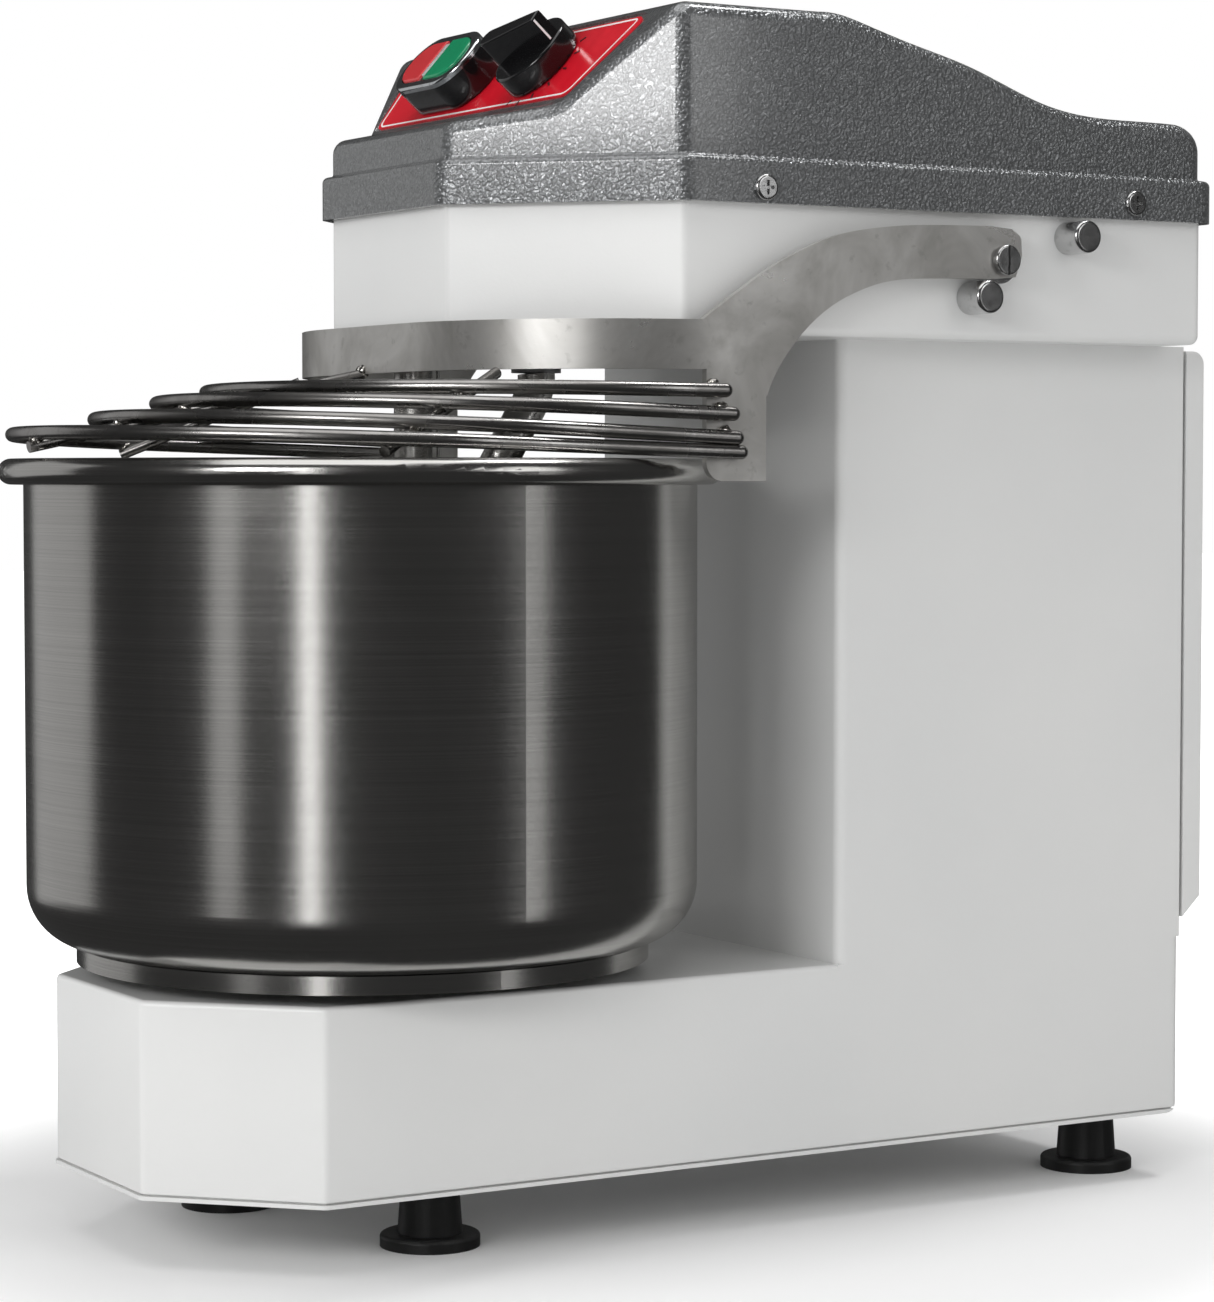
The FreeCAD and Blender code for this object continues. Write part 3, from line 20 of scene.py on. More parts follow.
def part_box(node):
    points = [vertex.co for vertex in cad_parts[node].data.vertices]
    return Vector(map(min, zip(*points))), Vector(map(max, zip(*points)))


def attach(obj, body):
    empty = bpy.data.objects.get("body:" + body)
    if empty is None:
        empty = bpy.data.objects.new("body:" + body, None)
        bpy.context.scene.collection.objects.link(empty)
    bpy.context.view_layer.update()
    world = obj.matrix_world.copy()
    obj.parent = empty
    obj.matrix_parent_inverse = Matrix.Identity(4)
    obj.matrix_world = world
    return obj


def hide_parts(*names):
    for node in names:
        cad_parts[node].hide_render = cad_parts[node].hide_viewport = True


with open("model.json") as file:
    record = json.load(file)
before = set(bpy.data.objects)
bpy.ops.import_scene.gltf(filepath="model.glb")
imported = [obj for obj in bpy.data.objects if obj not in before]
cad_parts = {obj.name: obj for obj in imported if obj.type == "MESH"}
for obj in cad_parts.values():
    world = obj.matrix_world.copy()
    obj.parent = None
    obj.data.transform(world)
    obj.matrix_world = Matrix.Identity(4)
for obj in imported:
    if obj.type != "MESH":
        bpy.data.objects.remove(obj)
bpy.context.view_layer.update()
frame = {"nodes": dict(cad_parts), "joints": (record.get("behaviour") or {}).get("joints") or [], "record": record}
nodes = frame["nodes"]

# %% [markdown]
# ## Where the camera stands
# The view is from the front right, almost level, a little below the top of the bowl's guard. A long lens
# keeps the housing's upright edges nearly parallel. The camera is placed from the bowl's axis, because the
# bowl is the nearest and largest thing in the view.

# %% Camera
LENS_MM = 98.69
CAMERA_TURN = 59.49
CAMERA_DIP = 2.84
CAMERA_FROM_BOWL = Vector((1.2528, -0.6272, 0.2945))

bowl_low, bowl_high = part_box("bowl")
bowl_axis = (bowl_low + bowl_high) / 2
bowl_axis.z = 0.0
camera = bpy.data.objects.new("camera", bpy.data.cameras.new("camera"))
camera.data.lens = LENS_MM
camera.data.clip_start = 0.05
camera.location = bowl_axis + CAMERA_FROM_BOWL
camera.rotation_euler = (math.radians(90 - CAMERA_DIP), 0, math.radians(CAMERA_TURN))
bpy.context.scene.collection.objects.link(camera)
bpy.context.scene.camera = camera
print("camera at", tuple(round(c, 3) for c in camera.location))

# %% [markdown]
# ## A plain white floor
# A product studio stands the machine on white paper that runs up behind it, so that no horizon shows. Here
# a large flat plane does that job. Near the machine it is plain white paper that takes the soft shadow.
# Further off it glows as brightly as the background, so that its far edge can't be seen. Only the camera
# sees that glow, so that it doesn't light the machine from below.

# %% Floor
FLOOR_HALF = 9.0
FLOOR_COLOUR = (0.9, 0.9, 0.9)
GLOW_STARTS = 0.24
GLOW_IS_FULL = 0.48

floor_mesh = bpy.data.meshes.new("floor")
bm = bmesh.new()
bmesh.ops.create_grid(bm, x_segments=1, y_segments=1, size=FLOOR_HALF)
bm.to_mesh(floor_mesh)
bm.free()
floor = bpy.data.objects.new("floor", floor_mesh)
bpy.context.scene.collection.objects.link(floor)
floor_finish = bpy.data.materials.new("floor paper")
floor_finish.use_nodes = True
paper_tree = floor_finish.node_tree
paper = paper_tree.nodes["Principled BSDF"]
paper.inputs["Base Color"].default_value = (*FLOOR_COLOUR, 1)
paper.inputs["Roughness"].default_value = 0.9
paper.inputs["Specular IOR Level"].default_value = 0.1
paper.inputs["Emission Color"].default_value = (1, 1, 1, 1)
place = paper_tree.nodes.new("ShaderNodeTexCoord")
distance = paper_tree.nodes.new("ShaderNodeVectorMath")
distance.operation = "LENGTH"
glow = paper_tree.nodes.new("ShaderNodeMapRange")
glow.interpolation_type = "SMOOTHSTEP"
glow.inputs["From Min"].default_value = GLOW_STARTS
glow.inputs["From Max"].default_value = GLOW_IS_FULL
paper_tree.links.new(place.outputs["Object"], distance.inputs[0])
paper_tree.links.new(distance.outputs["Value"], glow.inputs["Value"])
seen_directly = paper_tree.nodes.new("ShaderNodeLightPath")
glow_when_seen = paper_tree.nodes.new("ShaderNodeMath")
glow_when_seen.operation = "MULTIPLY"
paper_tree.links.new(glow.outputs["Result"], glow_when_seen.inputs[0])
paper_tree.links.new(seen_directly.outputs["Is Camera Ray"], glow_when_seen.inputs[1])
paper_tree.links.new(glow_when_seen.outputs["Value"], paper.inputs["Emission Strength"])
floor.data.materials.append(floor_finish)
floor.visible_glossy = False
print("floor", FLOOR_HALF * 2, "m wide, glowing from", GLOW_STARTS, "to", GLOW_IS_FULL, "m")

# %% [markdown]
# ## Background light
# The background is white where the camera sees it, but polished steel needs something dark to reflect or
# it looks like white plastic. So the background is white for the camera, an even fill for matt surfaces,
# and dark for mirror-like reflections. The standard view keeps white as plain white.

# %% Background
SEEN_LIGHT = 1.0
FILL_LIGHT = 0.42
MIRRORED_LIGHT = 0.04

bpy.context.scene.view_settings.view_transform = "Standard"
world = bpy.data.worlds.new("studio")
world.use_nodes = True
bpy.context.scene.world = world
sky = world.node_tree
background = sky.nodes["Background"]
path = sky.nodes.new("ShaderNodeLightPath")
dark_or_fill = sky.nodes.new("ShaderNodeMix")
dark_or_fill.inputs["A"].default_value = FILL_LIGHT
dark_or_fill.inputs["B"].default_value = MIRRORED_LIGHT
sky.links.new(path.outputs["Is Glossy Ray"], dark_or_fill.inputs["Factor"])
seen = sky.nodes.new("ShaderNodeMix")
seen.inputs["B"].default_value = SEEN_LIGHT
sky.links.new(path.outputs["Is Camera Ray"], seen.inputs["Factor"])
sky.links.new(dark_or_fill.outputs["Result"], seen.inputs["A"])
sky.links.new(seen.outputs["Result"], background.inputs["Strength"])
background.inputs["Color"].default_value = (1, 1, 1, 1)
print("background: seen", SEEN_LIGHT, "fill", FILL_LIGHT, "mirrored", MIRRORED_LIGHT)

# %% [markdown]
# ## Soft boxes
# A brushed bowl shows each lamp as an upright streak, so there are tall narrow soft boxes. Each is placed
# by its angle round the bowl from the camera's direction, so that its streak falls on a chosen part of the
# bowl. Two glint lamps, set high, give the rounded edges their bright lines, and walls of light behind fill
# the rest of the reflections. The wide key and top lights do the work of lighting the white housing, and the
# key is kept out of the reflections. Each lamp's power follows from its glow and its area.

# %% Lights
toward_camera = Vector((CAMERA_FROM_BOWL.x, CAMERA_FROM_BOWL.y, 0)).normalized()
to_the_right = Vector((-toward_camera.y, toward_camera.x, 0))
AIM_HEIGHT = 0.2


def soft_box(name, angle, distance, height, size, glow, mirrored=True):
    """A lamp that faces the bowl's axis, at an angle to the right of the camera."""
    turn = math.radians(angle)
    spot = toward_camera * math.cos(turn) * distance + to_the_right * math.sin(turn) * distance
    lamp = bpy.data.lights.new(name, "AREA")
    lamp.shape = "RECTANGLE"
    lamp.size, lamp.size_y = size
    lamp.energy = glow * math.pi * size[0] * size[1]
    holder = bpy.data.objects.new(name, lamp)
    holder.location = bowl_axis + spot + Vector((0, 0, height))
    aim = bowl_axis + Vector((0, 0, AIM_HEIGHT)) - holder.location
    holder.rotation_euler = aim.to_track_quat("-Z", "Y").to_euler()
    holder.visible_glossy = mirrored
    bpy.context.scene.collection.objects.link(holder)


soft_box("left strip", -45, 1.9, 0.35, (0.34, 1.1), 0.5)
soft_box("middle strip", -17, 2.4, 0.5, (0.18, 2.2), 3.2)
soft_box("right strip", 57, 1.8, 0.45, (0.18, 1.9), 0.9)
soft_box("back left wall", -122, 2.0, 0.6, (1.7, 1.8), 0.42)
soft_box("back right wall", 135, 2.0, 0.6, (1.0, 1.8), 0.12)
soft_box("top", -20, 0.35, 1.9, (1.5, 1.5), 1.6)
soft_box("top back", 108, 0.8, 1.9, (0.4, 0.4), 16.0)
soft_box("high glint", -33, 1.7, 0.78, (0.55, 0.40), 13.0)
soft_box("side glint", 52, 1.7, 0.85, (0.50, 0.60), 1.6)
soft_box("key", -80, 2.2, 1.0, (1.6, 1.6), 1.5, mirrored=False)

# %% [markdown]
# ## Small tools for finishes
# Every finish below is the same few nodes in a different mix: object coordinates, stretched where the
# grain runs one way, then noise, then a range that turns the noise into a colour, a roughness or a
# height. These helpers add one node each, so that a finish reads as a recipe.

# %% Node helpers


def start_finish(name, colour, metallic, roughness, coat=0.0, coat_roughness=0.1):
    finish = bpy.data.materials.new(name)
    finish.use_nodes = True
    shader = finish.node_tree.nodes["Principled BSDF"]
    shader.inputs["Base Color"].default_value = (*colour, 1)
    shader.inputs["Metallic"].default_value = metallic
    shader.inputs["Roughness"].default_value = roughness
    shader.inputs["Coat Weight"].default_value = coat
    shader.inputs["Coat Roughness"].default_value = coat_roughness
    return finish, finish.node_tree, shader


def coordinates(tree, stretch=(1, 1, 1)):
    source = tree.nodes.new("ShaderNodeTexCoord")
    mapping = tree.nodes.new("ShaderNodeMapping")
    mapping.inputs["Scale"].default_value = stretch
    tree.links.new(source.outputs["Object"], mapping.inputs["Vector"])
    return mapping.outputs["Vector"]


def grain(tree, where, scale, detail=2.0, roughness=0.5, distortion=0.0):
    texture = tree.nodes.new("ShaderNodeTexNoise")
    texture.inputs["Scale"].default_value = scale
    texture.inputs["Detail"].default_value = detail
    texture.inputs["Roughness"].default_value = roughness
    texture.inputs["Distortion"].default_value = distortion
    tree.links.new(where, texture.inputs["Vector"])
    return texture.outputs["Fac"]


def spread(tree, value, low, high, to_low, to_high):
    scale = tree.nodes.new("ShaderNodeMapRange")
    for socket, number in zip(("From Min", "From Max", "To Min", "To Max"), (low, high, to_low, to_high)):
        scale.inputs[socket].default_value = number
    tree.links.new(value, scale.inputs["Value"])
    return scale.outputs["Result"]


def mix_colours(tree, value, first, second):
    mixer = tree.nodes.new("ShaderNodeMix")
    mixer.data_type = "RGBA"
    sockets = [s for s in mixer.inputs if s.type == "RGBA"]
    for socket, colour in zip(sockets, (first, second)):
        if isinstance(colour, tuple):
            socket.default_value = (*colour, 1)
        else:
            tree.links.new(colour, socket)
    tree.links.new(value, mixer.inputs["Factor"])
    return [s for s in mixer.outputs if s.type == "RGBA"][0]


def raise_surface(tree, shader, height, distance, strength=1.0, under=None):
    bump = tree.nodes.new("ShaderNodeBump")
    bump.inputs["Distance"].default_value = distance
    bump.inputs["Strength"].default_value = strength
    tree.links.new(height, bump.inputs["Height"])
    if under is not None:
        tree.links.new(under, bump.inputs["Normal"])
    tree.links.new(bump.outputs["Normal"], shader.inputs["Normal"])
    return bump.outputs["Normal"]


print("helpers ready")

# %% [markdown]
# ## Powder coat
# The housing is folded steel with a white powder coat. Baked powder is glossy but never quite flat: it has
# an orange-peel ripple about a millimetre across. A fine noise as height gives the ripple, and a slow one
# lets the white and the gloss drift a little over a panel, as real coats do.

# %% White powder coat


def powder_coat():
    finish, tree, shader = start_finish("white powder coat", (0.72, 0.72, 0.71), 0, 0.34, 0.35, 0.12)
    where = coordinates(tree)
    drift = grain(tree, where, 7, 3)
    tone = spread(tree, drift, 0.3, 0.7, 0, 1)
    white = mix_colours(tree, tone, (0.70, 0.705, 0.70), (0.745, 0.745, 0.735))
    tree.links.new(white, shader.inputs["Base Color"])
    tree.links.new(spread(tree, drift, 0.25, 0.75, 0.30, 0.38), shader.inputs["Roughness"])
    peel = grain(tree, where, 850, 1.5)
    raise_surface(tree, shader, peel, 0.00004, 0.6)
    return finish


# %% [markdown]
# ## Hammertone enamel
# The cover's grey paint has a hammered, leathery skin: metal flakes float in the wet paint and silicone
# pulls it into pebbles about a millimetre wide. Voronoi cells bent by noise give the pebbles, and a glossy
# coat over them makes each one catch the light on its own.

# %% Grey hammertone
PEBBLES_PER_METRE = 850
PEBBLE_SOFTNESS = 0.6
PEBBLE_BEND = 0.0014
PEBBLE_HEIGHT = 0.00034


def hammertone():
    finish, tree, shader = start_finish("grey hammertone", (0.17, 0.175, 0.178), 0.72, 0.28, 1.0, 0.1)
    where = coordinates(tree)
    wander = grain(tree, where, 420, 3, 0.6, 0.4)
    cells = tree.nodes.new("ShaderNodeTexVoronoi")
    cells.feature = "SMOOTH_F1"
    cells.inputs["Scale"].default_value = PEBBLES_PER_METRE
    cells.inputs["Smoothness"].default_value = PEBBLE_SOFTNESS
    shift = tree.nodes.new("ShaderNodeVectorMath")
    shift.operation = "MULTIPLY_ADD"
    shift.inputs[1].default_value = (PEBBLE_BEND, PEBBLE_BEND, PEBBLE_BEND)
    tree.links.new(wander, shift.inputs[0])
    tree.links.new(where, shift.inputs[2])
    tree.links.new(shift.outputs["Vector"], cells.inputs["Vector"])
    pebbles = spread(tree, cells.outputs["Distance"], 0.1, 0.75, 1, 0)
    grey = mix_colours(tree, pebbles, (0.19, 0.195, 0.199), (0.31, 0.318, 0.324))
    tree.links.new(grey, shader.inputs["Base Color"])
    lumps = raise_surface(tree, shader, pebbles, PEBBLE_HEIGHT)
    raise_surface(tree, shader, grain(tree, where, 2400, 2), 0.00004, 0.5, lumps)
    return finish


# %% [markdown]
# ## Brushed stainless steel
# The bowl is spun and brushed round and round, so its scratches are level lines. Noise that is stretched
# along x and y and squeezed along z makes such lines. They drive the roughness, the tone and a very shallow
# bump, and a slow noise adds the smears that hands and cloths leave.

# %% Brushed bowl steel


def brushed_steel(name, stretch, colour, roughness, smear, line_bump):
    dark = tuple(c * 0.78 for c in colour)
    finish, tree, shader = start_finish(name, colour, 1.0, roughness)
    lines = grain(tree, coordinates(tree, stretch), 1.0, 4, 0.65)
    fine = grain(tree, coordinates(tree, tuple(s * 3 for s in stretch)), 1.0, 2, 0.6)
    smears = grain(tree, coordinates(tree, (1, 1, 0.45)), 13, 4, 0.6, 0.8)
    tone = mix_colours(tree, spread(tree, lines, 0.3, 0.7, 0, 1), dark, colour)
    tree.links.new(tone, shader.inputs["Base Color"])
    rough = tree.nodes.new("ShaderNodeMath")
    rough.operation = "ADD"
    tree.links.new(spread(tree, lines, 0.25, 0.75, roughness - 0.02, roughness + 0.02), rough.inputs[0])
    tree.links.new(spread(tree, smears, 0.35, 0.75, -smear / 3, smear), rough.inputs[1])
    tree.links.new(rough.outputs[0], shader.inputs["Roughness"])
    raise_surface(tree, shader, fine, line_bump, 0.7)
    return finish


# %% [markdown]
# ## Guard steel
# The guard is cut from sheet that was rolled, handled and welded. Its grey is blotchy, with darker clouds
# a few centimetres across and small stains, and its gloss is dull. Two sizes of noise give the clouds and
# the stains, and the clouds also change the roughness, because stained steel is duller than clean steel.

# %% Blotched guard steel


def blotched_steel(name, light, dark, roughness, metallic=1.0):
    finish, tree, shader = start_finish(name, light, metallic, roughness)
    where = coordinates(tree)
    clouds = grain(tree, where, 26, 4, 0.6, 0.6)
    stains = grain(tree, where, 160, 3, 0.6, 0.3)
    cloudy = mix_colours(tree, spread(tree, clouds, 0.38, 0.66, 0, 1), light, dark)
    stained = tuple(c * 0.8 for c in dark)
    tone = mix_colours(tree, spread(tree, stains, 0.6, 0.78, 0, 0.7), cloudy, stained)
    tree.links.new(tone, shader.inputs["Base Color"])
    dullness = spread(tree, clouds, 0.35, 0.7, roughness - 0.06, roughness + 0.1)
    tree.links.new(dullness, shader.inputs["Roughness"])
    raise_surface(tree, shader, grain(tree, where, 900, 3), 0.00003, 0.6)
    return finish


# %% [markdown]
# ## Moulded plastic and rubber
# Buttons, knob and feet are moulded. Gloss black plastic is almost a mirror with faint waves and fine
# dust marks, caps have a light grain, and rubber is dull with a coarse skin. One recipe with a few
# settings covers them all.

# %% Moulded finishes


def moulded(name, colour, roughness, skin_scale, skin_height, coat=0.0):
    finish, tree, shader = start_finish(name, colour, 0, roughness, coat, 0.08)
    where = coordinates(tree)
    wear = grain(tree, where, 60, 4, 0.6)
    worn = tuple(min(1.0, c * 1.25 + 0.006) for c in colour)
    tone = mix_colours(tree, spread(tree, wear, 0.5, 0.8, 0, 0.6), colour, worn)
    tree.links.new(tone, shader.inputs["Base Color"])
    dullness = spread(tree, wear, 0.3, 0.7, roughness - 0.03, roughness + 0.07)
    tree.links.new(dullness, shader.inputs["Roughness"])
    raise_surface(tree, shader, grain(tree, where, skin_scale, 2), skin_height, 0.6)
    return finish


# %% [markdown]
# ## Turned and plated metal
# Screws, pins and shafts are turned on a lathe and plated. They are brighter and smoother than the sheet,
# with fine lines and a few dark specks. Castings, such as the motor and the pulleys, are dull and grainy.

# %% Turned metal


def turned_metal(name, colour, roughness, scale=700, height=0.00001):
    finish, tree, shader = start_finish(name, colour, 1.0, roughness)
    where = coordinates(tree)
    speck = grain(tree, where, 300, 4, 0.65)
    dark = tuple(c * 0.6 for c in colour)
    tone = mix_colours(tree, spread(tree, speck, 0.55, 0.8, 0, 1), colour, dark)
    tree.links.new(tone, shader.inputs["Base Color"])
    dullness = spread(tree, speck, 0.3, 0.7, roughness - 0.04, roughness + 0.06)
    tree.links.new(dullness, shader.inputs["Roughness"])
    raise_surface(tree, shader, grain(tree, where, scale, 3), height, 0.6)
    return finish


# %% [markdown]
# ## Which finish goes where
# The record names a material slot for each node, so the finishes are made once per slot and given to every
# node of that slot. The guard's rods get a darker steel of their own, because drawn rod is duller than the
# sheet that is welded to it.

# %% Dress the nodes
finishes = {
    "body_paint": powder_coat(),
    "cover_paint": hammertone(),
    "stainless": brushed_steel("brushed stainless", (3, 3, 2600), (0.58, 0.57, 0.55), 0.19, 0.05, 0.00001),
    "guard_steel": blotched_steel("blotched stainless", (0.60, 0.59, 0.57), (0.40, 0.39, 0.37), 0.33, 0.8),
    "bright_steel": turned_metal("plated steel", (0.6, 0.6, 0.6), 0.2),
    "dark_steel": turned_metal("machined steel", (0.3, 0.3, 0.31), 0.35),
    "cast_aluminium": turned_metal("cast aluminium", (0.5, 0.51, 0.52), 0.45, 400, 0.00006),
    "black_rubber": moulded("black rubber", (0.012, 0.012, 0.012), 0.42, 900, 0.00006),
    "black_plastic": moulded("black moulding", (0.006, 0.006, 0.0065), 0.13, 120, 0.00002, 0.3),
    "matt_black_plastic": moulded("matt black moulding", (0.02, 0.02, 0.02), 0.5, 1200, 0.00004),
    "bezel_chrome": turned_metal("satin chrome", (0.72, 0.74, 0.76), 0.14, 500, 0.000006),
    "red_plastic": moulded("red cap", (0.50, 0.025, 0.03), 0.3, 700, 0.00002, 0.4),
    "green_plastic": moulded("green cap", (0.0, 0.22, 0.09), 0.3, 700, 0.00002, 0.4),
    "label_red": moulded("red panel film", (0.60, 0.010, 0.022), 0.2, 300, 0.00001, 0.5),
    "mark_white": moulded("white inlay", (0.75, 0.75, 0.75), 0.4, 600, 0.00001),
    "mark_dark": moulded("dark print", (0.04, 0.008, 0.01), 0.4, 600, 0.00001),
}
slot_of = {part["node"]: part["material_slot"] for part in frame["record"]["subparts"]}
rod_steel = blotched_steel("drawn rod", (0.40, 0.39, 0.38), (0.28, 0.27, 0.26), 0.26)
special = {"guard_hoops": rod_steel, "guard_struts": rod_steel}
for name, part in nodes.items():
    part.data.materials.clear()
    part.data.materials.append(special.get(name, finishes[slot_of[name]]))
print("dressed", len(nodes), "nodes with", len(finishes), "finishes")

# %% [markdown]
# ## The printed line round the film
# The red film has a thin pale line just inside its edge. It is made as a very thin raised frame: one face
# with the film's outline, rounded corners by bevelling its corner points, then two insets. Only the band
# between them is kept and given a thickness.

# %% Pale line on the panel film
joint_of = {joint["name"]: joint for joint in frame["joints"]}
panel_out = Vector(joint_of["timer_turn"]["axis"]).normalized()
panel_across = Vector((1, 0, 0))
panel_up = panel_out.cross(panel_across)
panel_turn = Matrix((panel_across, panel_up, panel_out)).transposed().to_4x4()

LINE_OUT = 0.0026
LINE_INSET = 0.0009
LINE_WIDTH = 0.0008
LINE_HEIGHT = 0.00012
LINE_FLOAT = 0.00002
FILM_ROUND = 0.0045
SAME_LEVEL = 0.0001


def new_piece(name, mesh_builder, finish, body):
    """Runs a builder on an empty bmesh and makes the result a piece that rides on a body."""
    bm = bmesh.new()
    mesh_builder(bm)
    mesh = bpy.data.meshes.new(name)
    bm.to_mesh(mesh)
    bm.free()
    piece = bpy.data.objects.new(name, mesh)
    bpy.context.scene.collection.objects.link(piece)
    piece.data.materials.append(finish)
    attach(piece, body)
    return piece


def film_corners():
    """Height of the film's top face, and its four corners as places across and up the panel."""
    film = nodes["control_label"]
    heights = [v.co.dot(panel_out) for v in film.data.vertices]
    top = max(heights)
    face_points = [v.co for v, h in zip(film.data.vertices, heights) if top - h < SAME_LEVEL]
    ups = [p.dot(panel_up) for p in face_points]
    low_up, high_up = min(ups), max(ups)
    low_row = [p.x for p, up in zip(face_points, ups) if up < low_up + SAME_LEVEL]
    high_row = [p.x for p, up in zip(face_points, ups) if up > high_up - SAME_LEVEL]
    low_left, low_right = min(low_row) - LINE_OUT, max(low_row) + LINE_OUT
    high_left, high_right = min(high_row) - LINE_OUT, max(high_row) + LINE_OUT
    return top, [(low_left, low_up), (low_right, low_up), (high_right, high_up), (high_left, high_up)]


def pale_line(bm):
    top, spots = film_corners()
    level = panel_out * (top + LINE_FLOAT)
    corners = [bm.verts.new(panel_across * x + panel_up * up + level) for x, up in spots]
    bm.faces.new(corners)
    bmesh.ops.bevel(bm, geom=corners, offset=FILM_ROUND, offset_type="OFFSET", segments=6, profile=0.5,
                    affect="VERTICES", material=-1)
    bmesh.ops.inset_individual(bm, faces=bm.faces[:], thickness=LINE_INSET, use_even_offset=True)
    middle = [f for f in bm.faces if len(f.verts) > 4]
    band = bmesh.ops.inset_individual(bm, faces=middle, thickness=LINE_WIDTH, use_even_offset=True)["faces"]
    bmesh.ops.delete(bm, geom=[f for f in bm.faces if f not in band], context="FACES")
    bmesh.ops.solidify(bm, geom=bm.faces[:], thickness=-LINE_HEIGHT)
    bmesh.ops.recalc_face_normals(bm, faces=bm.faces[:])


line_finish = moulded("pale print", (0.72, 0.70, 0.70), 0.4, 600, 0.00001)
pale = new_piece("panel_line", pale_line, line_finish, "chassis")
film_top = film_corners()[0]
line_stands = max(v.co.dot(panel_out) for v in pale.data.vertices) - film_top
print("pale line:", len(pale.data.polygons), "faces, standing", round(line_stands * 1000, 3), "mm high")

# %% [markdown]
# ## The pilot lens
# Between the stop and start caps lies a narrow pale lens that a lamp lights from below. It is moulded as a
# small bar, so a cube is stretched to its length in the panel's own directions and all its edges are
# rounded. It lies on the bezel's bar, a little lower than the caps, so that a finger doesn't press it.

# %% Pilot lens
LENS_WIDTH = 0.0026
LENS_RISE = 0.0006
LENS_ROUND = 0.0003
LENS_PART_OF_CAP = 0.8


def panel_span(name):
    """Least and greatest place of a CAD node across, up and out of the panel."""
    spots = [v.co for v in nodes[name].data.vertices]
    reach = [[spot.dot(axis) for spot in spots] for axis in (panel_across, panel_up, panel_out)]
    return [(min(places), max(places)) for places in reach]


def pilot_lens(bm):
    stop, start, bezel = (panel_span(name) for name in ("stop_button", "start_button", "button_bezel"))
    across = (stop[0][1] + start[0][0]) / 2
    up = sum(stop[1]) / 2
    length = (stop[1][1] - stop[1][0]) * LENS_PART_OF_CAP
    middle = panel_across * across + panel_up * up + panel_out * bezel[2][1]
    size = Matrix.Diagonal((LENS_WIDTH, length, LENS_RISE * 2, 1))
    bmesh.ops.create_cube(bm, size=1, matrix=Matrix.Translation(middle) @ panel_turn @ size)
    bmesh.ops.bevel(bm, geom=bm.edges[:], offset=LENS_ROUND, segments=3, profile=0.5,
                    affect="EDGES", material=-1)
    print("lens", round(length * 1000, 1), "mm long")


lens_finish = moulded("pilot lens", (0.40, 0.41, 0.40), 0.22, 500, 0.00001, 0.5)
new_piece("pilot_lens", pilot_lens, lens_finish, "chassis")

# %% [markdown]
# ## Weld beads
# Rods are welded where they cross, and each weld is a small uneven blob. First the places are found: the
# points of the struts that nearly touch a hoop or the plate are gathered into groups, one per crossing. The
# CAD model's plain balls mark the welds at the rods' ends. Then each place gets a ball whose surface is
# pushed in and out by noise, and these take the place of the plain balls.

# %% Find the crossings
TOUCH = 0.0008
SAME_PLACE = 0.008
LOOK_WITHIN = 0.004
LONG_EDGE = 0.01
CUTS_IN_LONG_EDGE = 60
SAME_POINT = 0.00001


def surface_tree(name):
    bm = bmesh.new()
    bm.from_mesh(nodes[name].data)
    tree = BVHTree.FromBMesh(bm)
    bm.free()
    return tree


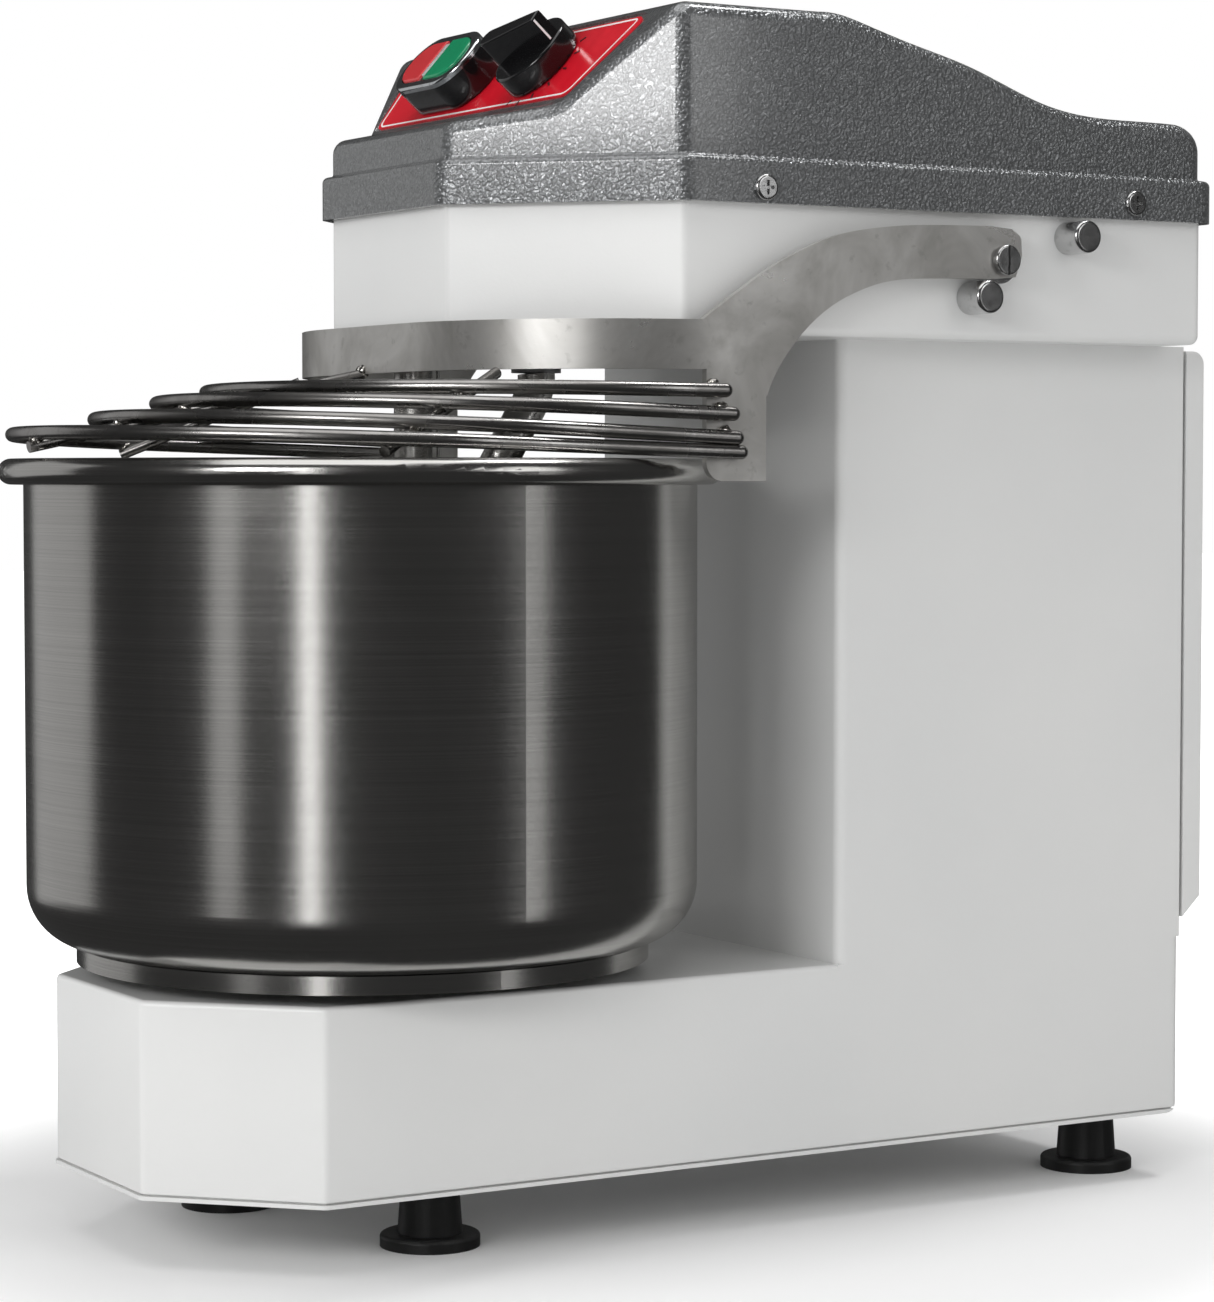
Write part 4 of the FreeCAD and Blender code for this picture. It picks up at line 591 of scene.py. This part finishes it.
def touching_places(name, others):
    """Middles of the groups of points on one node that nearly touch another node."""
    groups = []
    for other in others:
        tree = surface_tree(other)
        source = bmesh.new()
        source.from_mesh(nodes[name].data)
        bmesh.ops.remove_doubles(source, verts=source.verts[:], dist=SAME_POINT)
        long_edges = [e for e in source.edges if e.calc_length() > LONG_EDGE]
        bmesh.ops.subdivide_edges(source, edges=long_edges, cuts=CUTS_IN_LONG_EDGE)
        for vertex in source.verts:
            spot, _, _, gap = tree.find_nearest(vertex.co, LOOK_WITHIN)
            if spot is None or gap > TOUCH:
                continue
            for group in groups:
                if (group[0] - spot).length < SAME_PLACE:
                    group.append(spot)
                    break
            else:
                groups.append([spot])
        source.free()
    return [sum(group, Vector()) / len(group) for group in groups]


crossings = touching_places("guard_struts", ["guard_hoops", "guard_plate"])
print("crossings:", len(crossings))

# %% Weld beads on the guard
BEAD_R = 0.0031
SIZE_MIDDLE = 0.85
SIZE_SPREAD = 0.35
SIZE_NOISE = 900
LUMP_HEIGHT = 0.3
LUMP_NOISE = 1.6
LUMP_SHIFT = 300
PIT_HEIGHT = 0.3 * LUMP_HEIGHT
PIT_NOISE = 5
PIT_SHIFT = 500


def islands(name):
    """Middle of each separate solid of a CAD node, in the same order on each run."""
    bm = bmesh.new()
    bm.from_mesh(nodes[name].data)
    bmesh.ops.remove_doubles(bm, verts=bm.verts[:], dist=SAME_POINT)
    middles, waiting = [], dict.fromkeys(bm.verts)
    while waiting:
        edge_of_search = [waiting.popitem()[0]]
        group = []
        while edge_of_search:
            vertex = edge_of_search.pop()
            group.append(vertex.co.copy())
            for link in vertex.link_edges:
                other = link.other_vert(vertex)
                if other in waiting:
                    del waiting[other]
                    edge_of_search.append(other)
        middles.append(sum(group, Vector()) / len(group))
    bm.free()
    return middles


def weld_beads(bm):
    for spot in crossings + islands("guard_welds"):
        size = BEAD_R * (SIZE_MIDDLE + SIZE_SPREAD * value_noise(spot * SIZE_NOISE))
        made = bmesh.ops.create_icosphere(bm, subdivisions=4, radius=size, matrix=Matrix.Translation(spot))
        for vertex in made["verts"]:
            away = (vertex.co - spot).normalized()
            lump = value_noise(away * LUMP_NOISE + spot * LUMP_SHIFT) * LUMP_HEIGHT
            pit = value_noise(away * PIT_NOISE + spot * PIT_SHIFT) * PIT_HEIGHT
            vertex.co = spot + away * size * (1 + lump + pit)
    for face in bm.faces:
        face.smooth = True


bead_finish = blotched_steel("weld metal", (0.5, 0.49, 0.47), (0.3, 0.28, 0.25), 0.22)
beads = new_piece("weld_beads", weld_beads, bead_finish, "guard")
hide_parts("guard_welds")
print("weld beads:", len(beads.data.polygons), "faces")
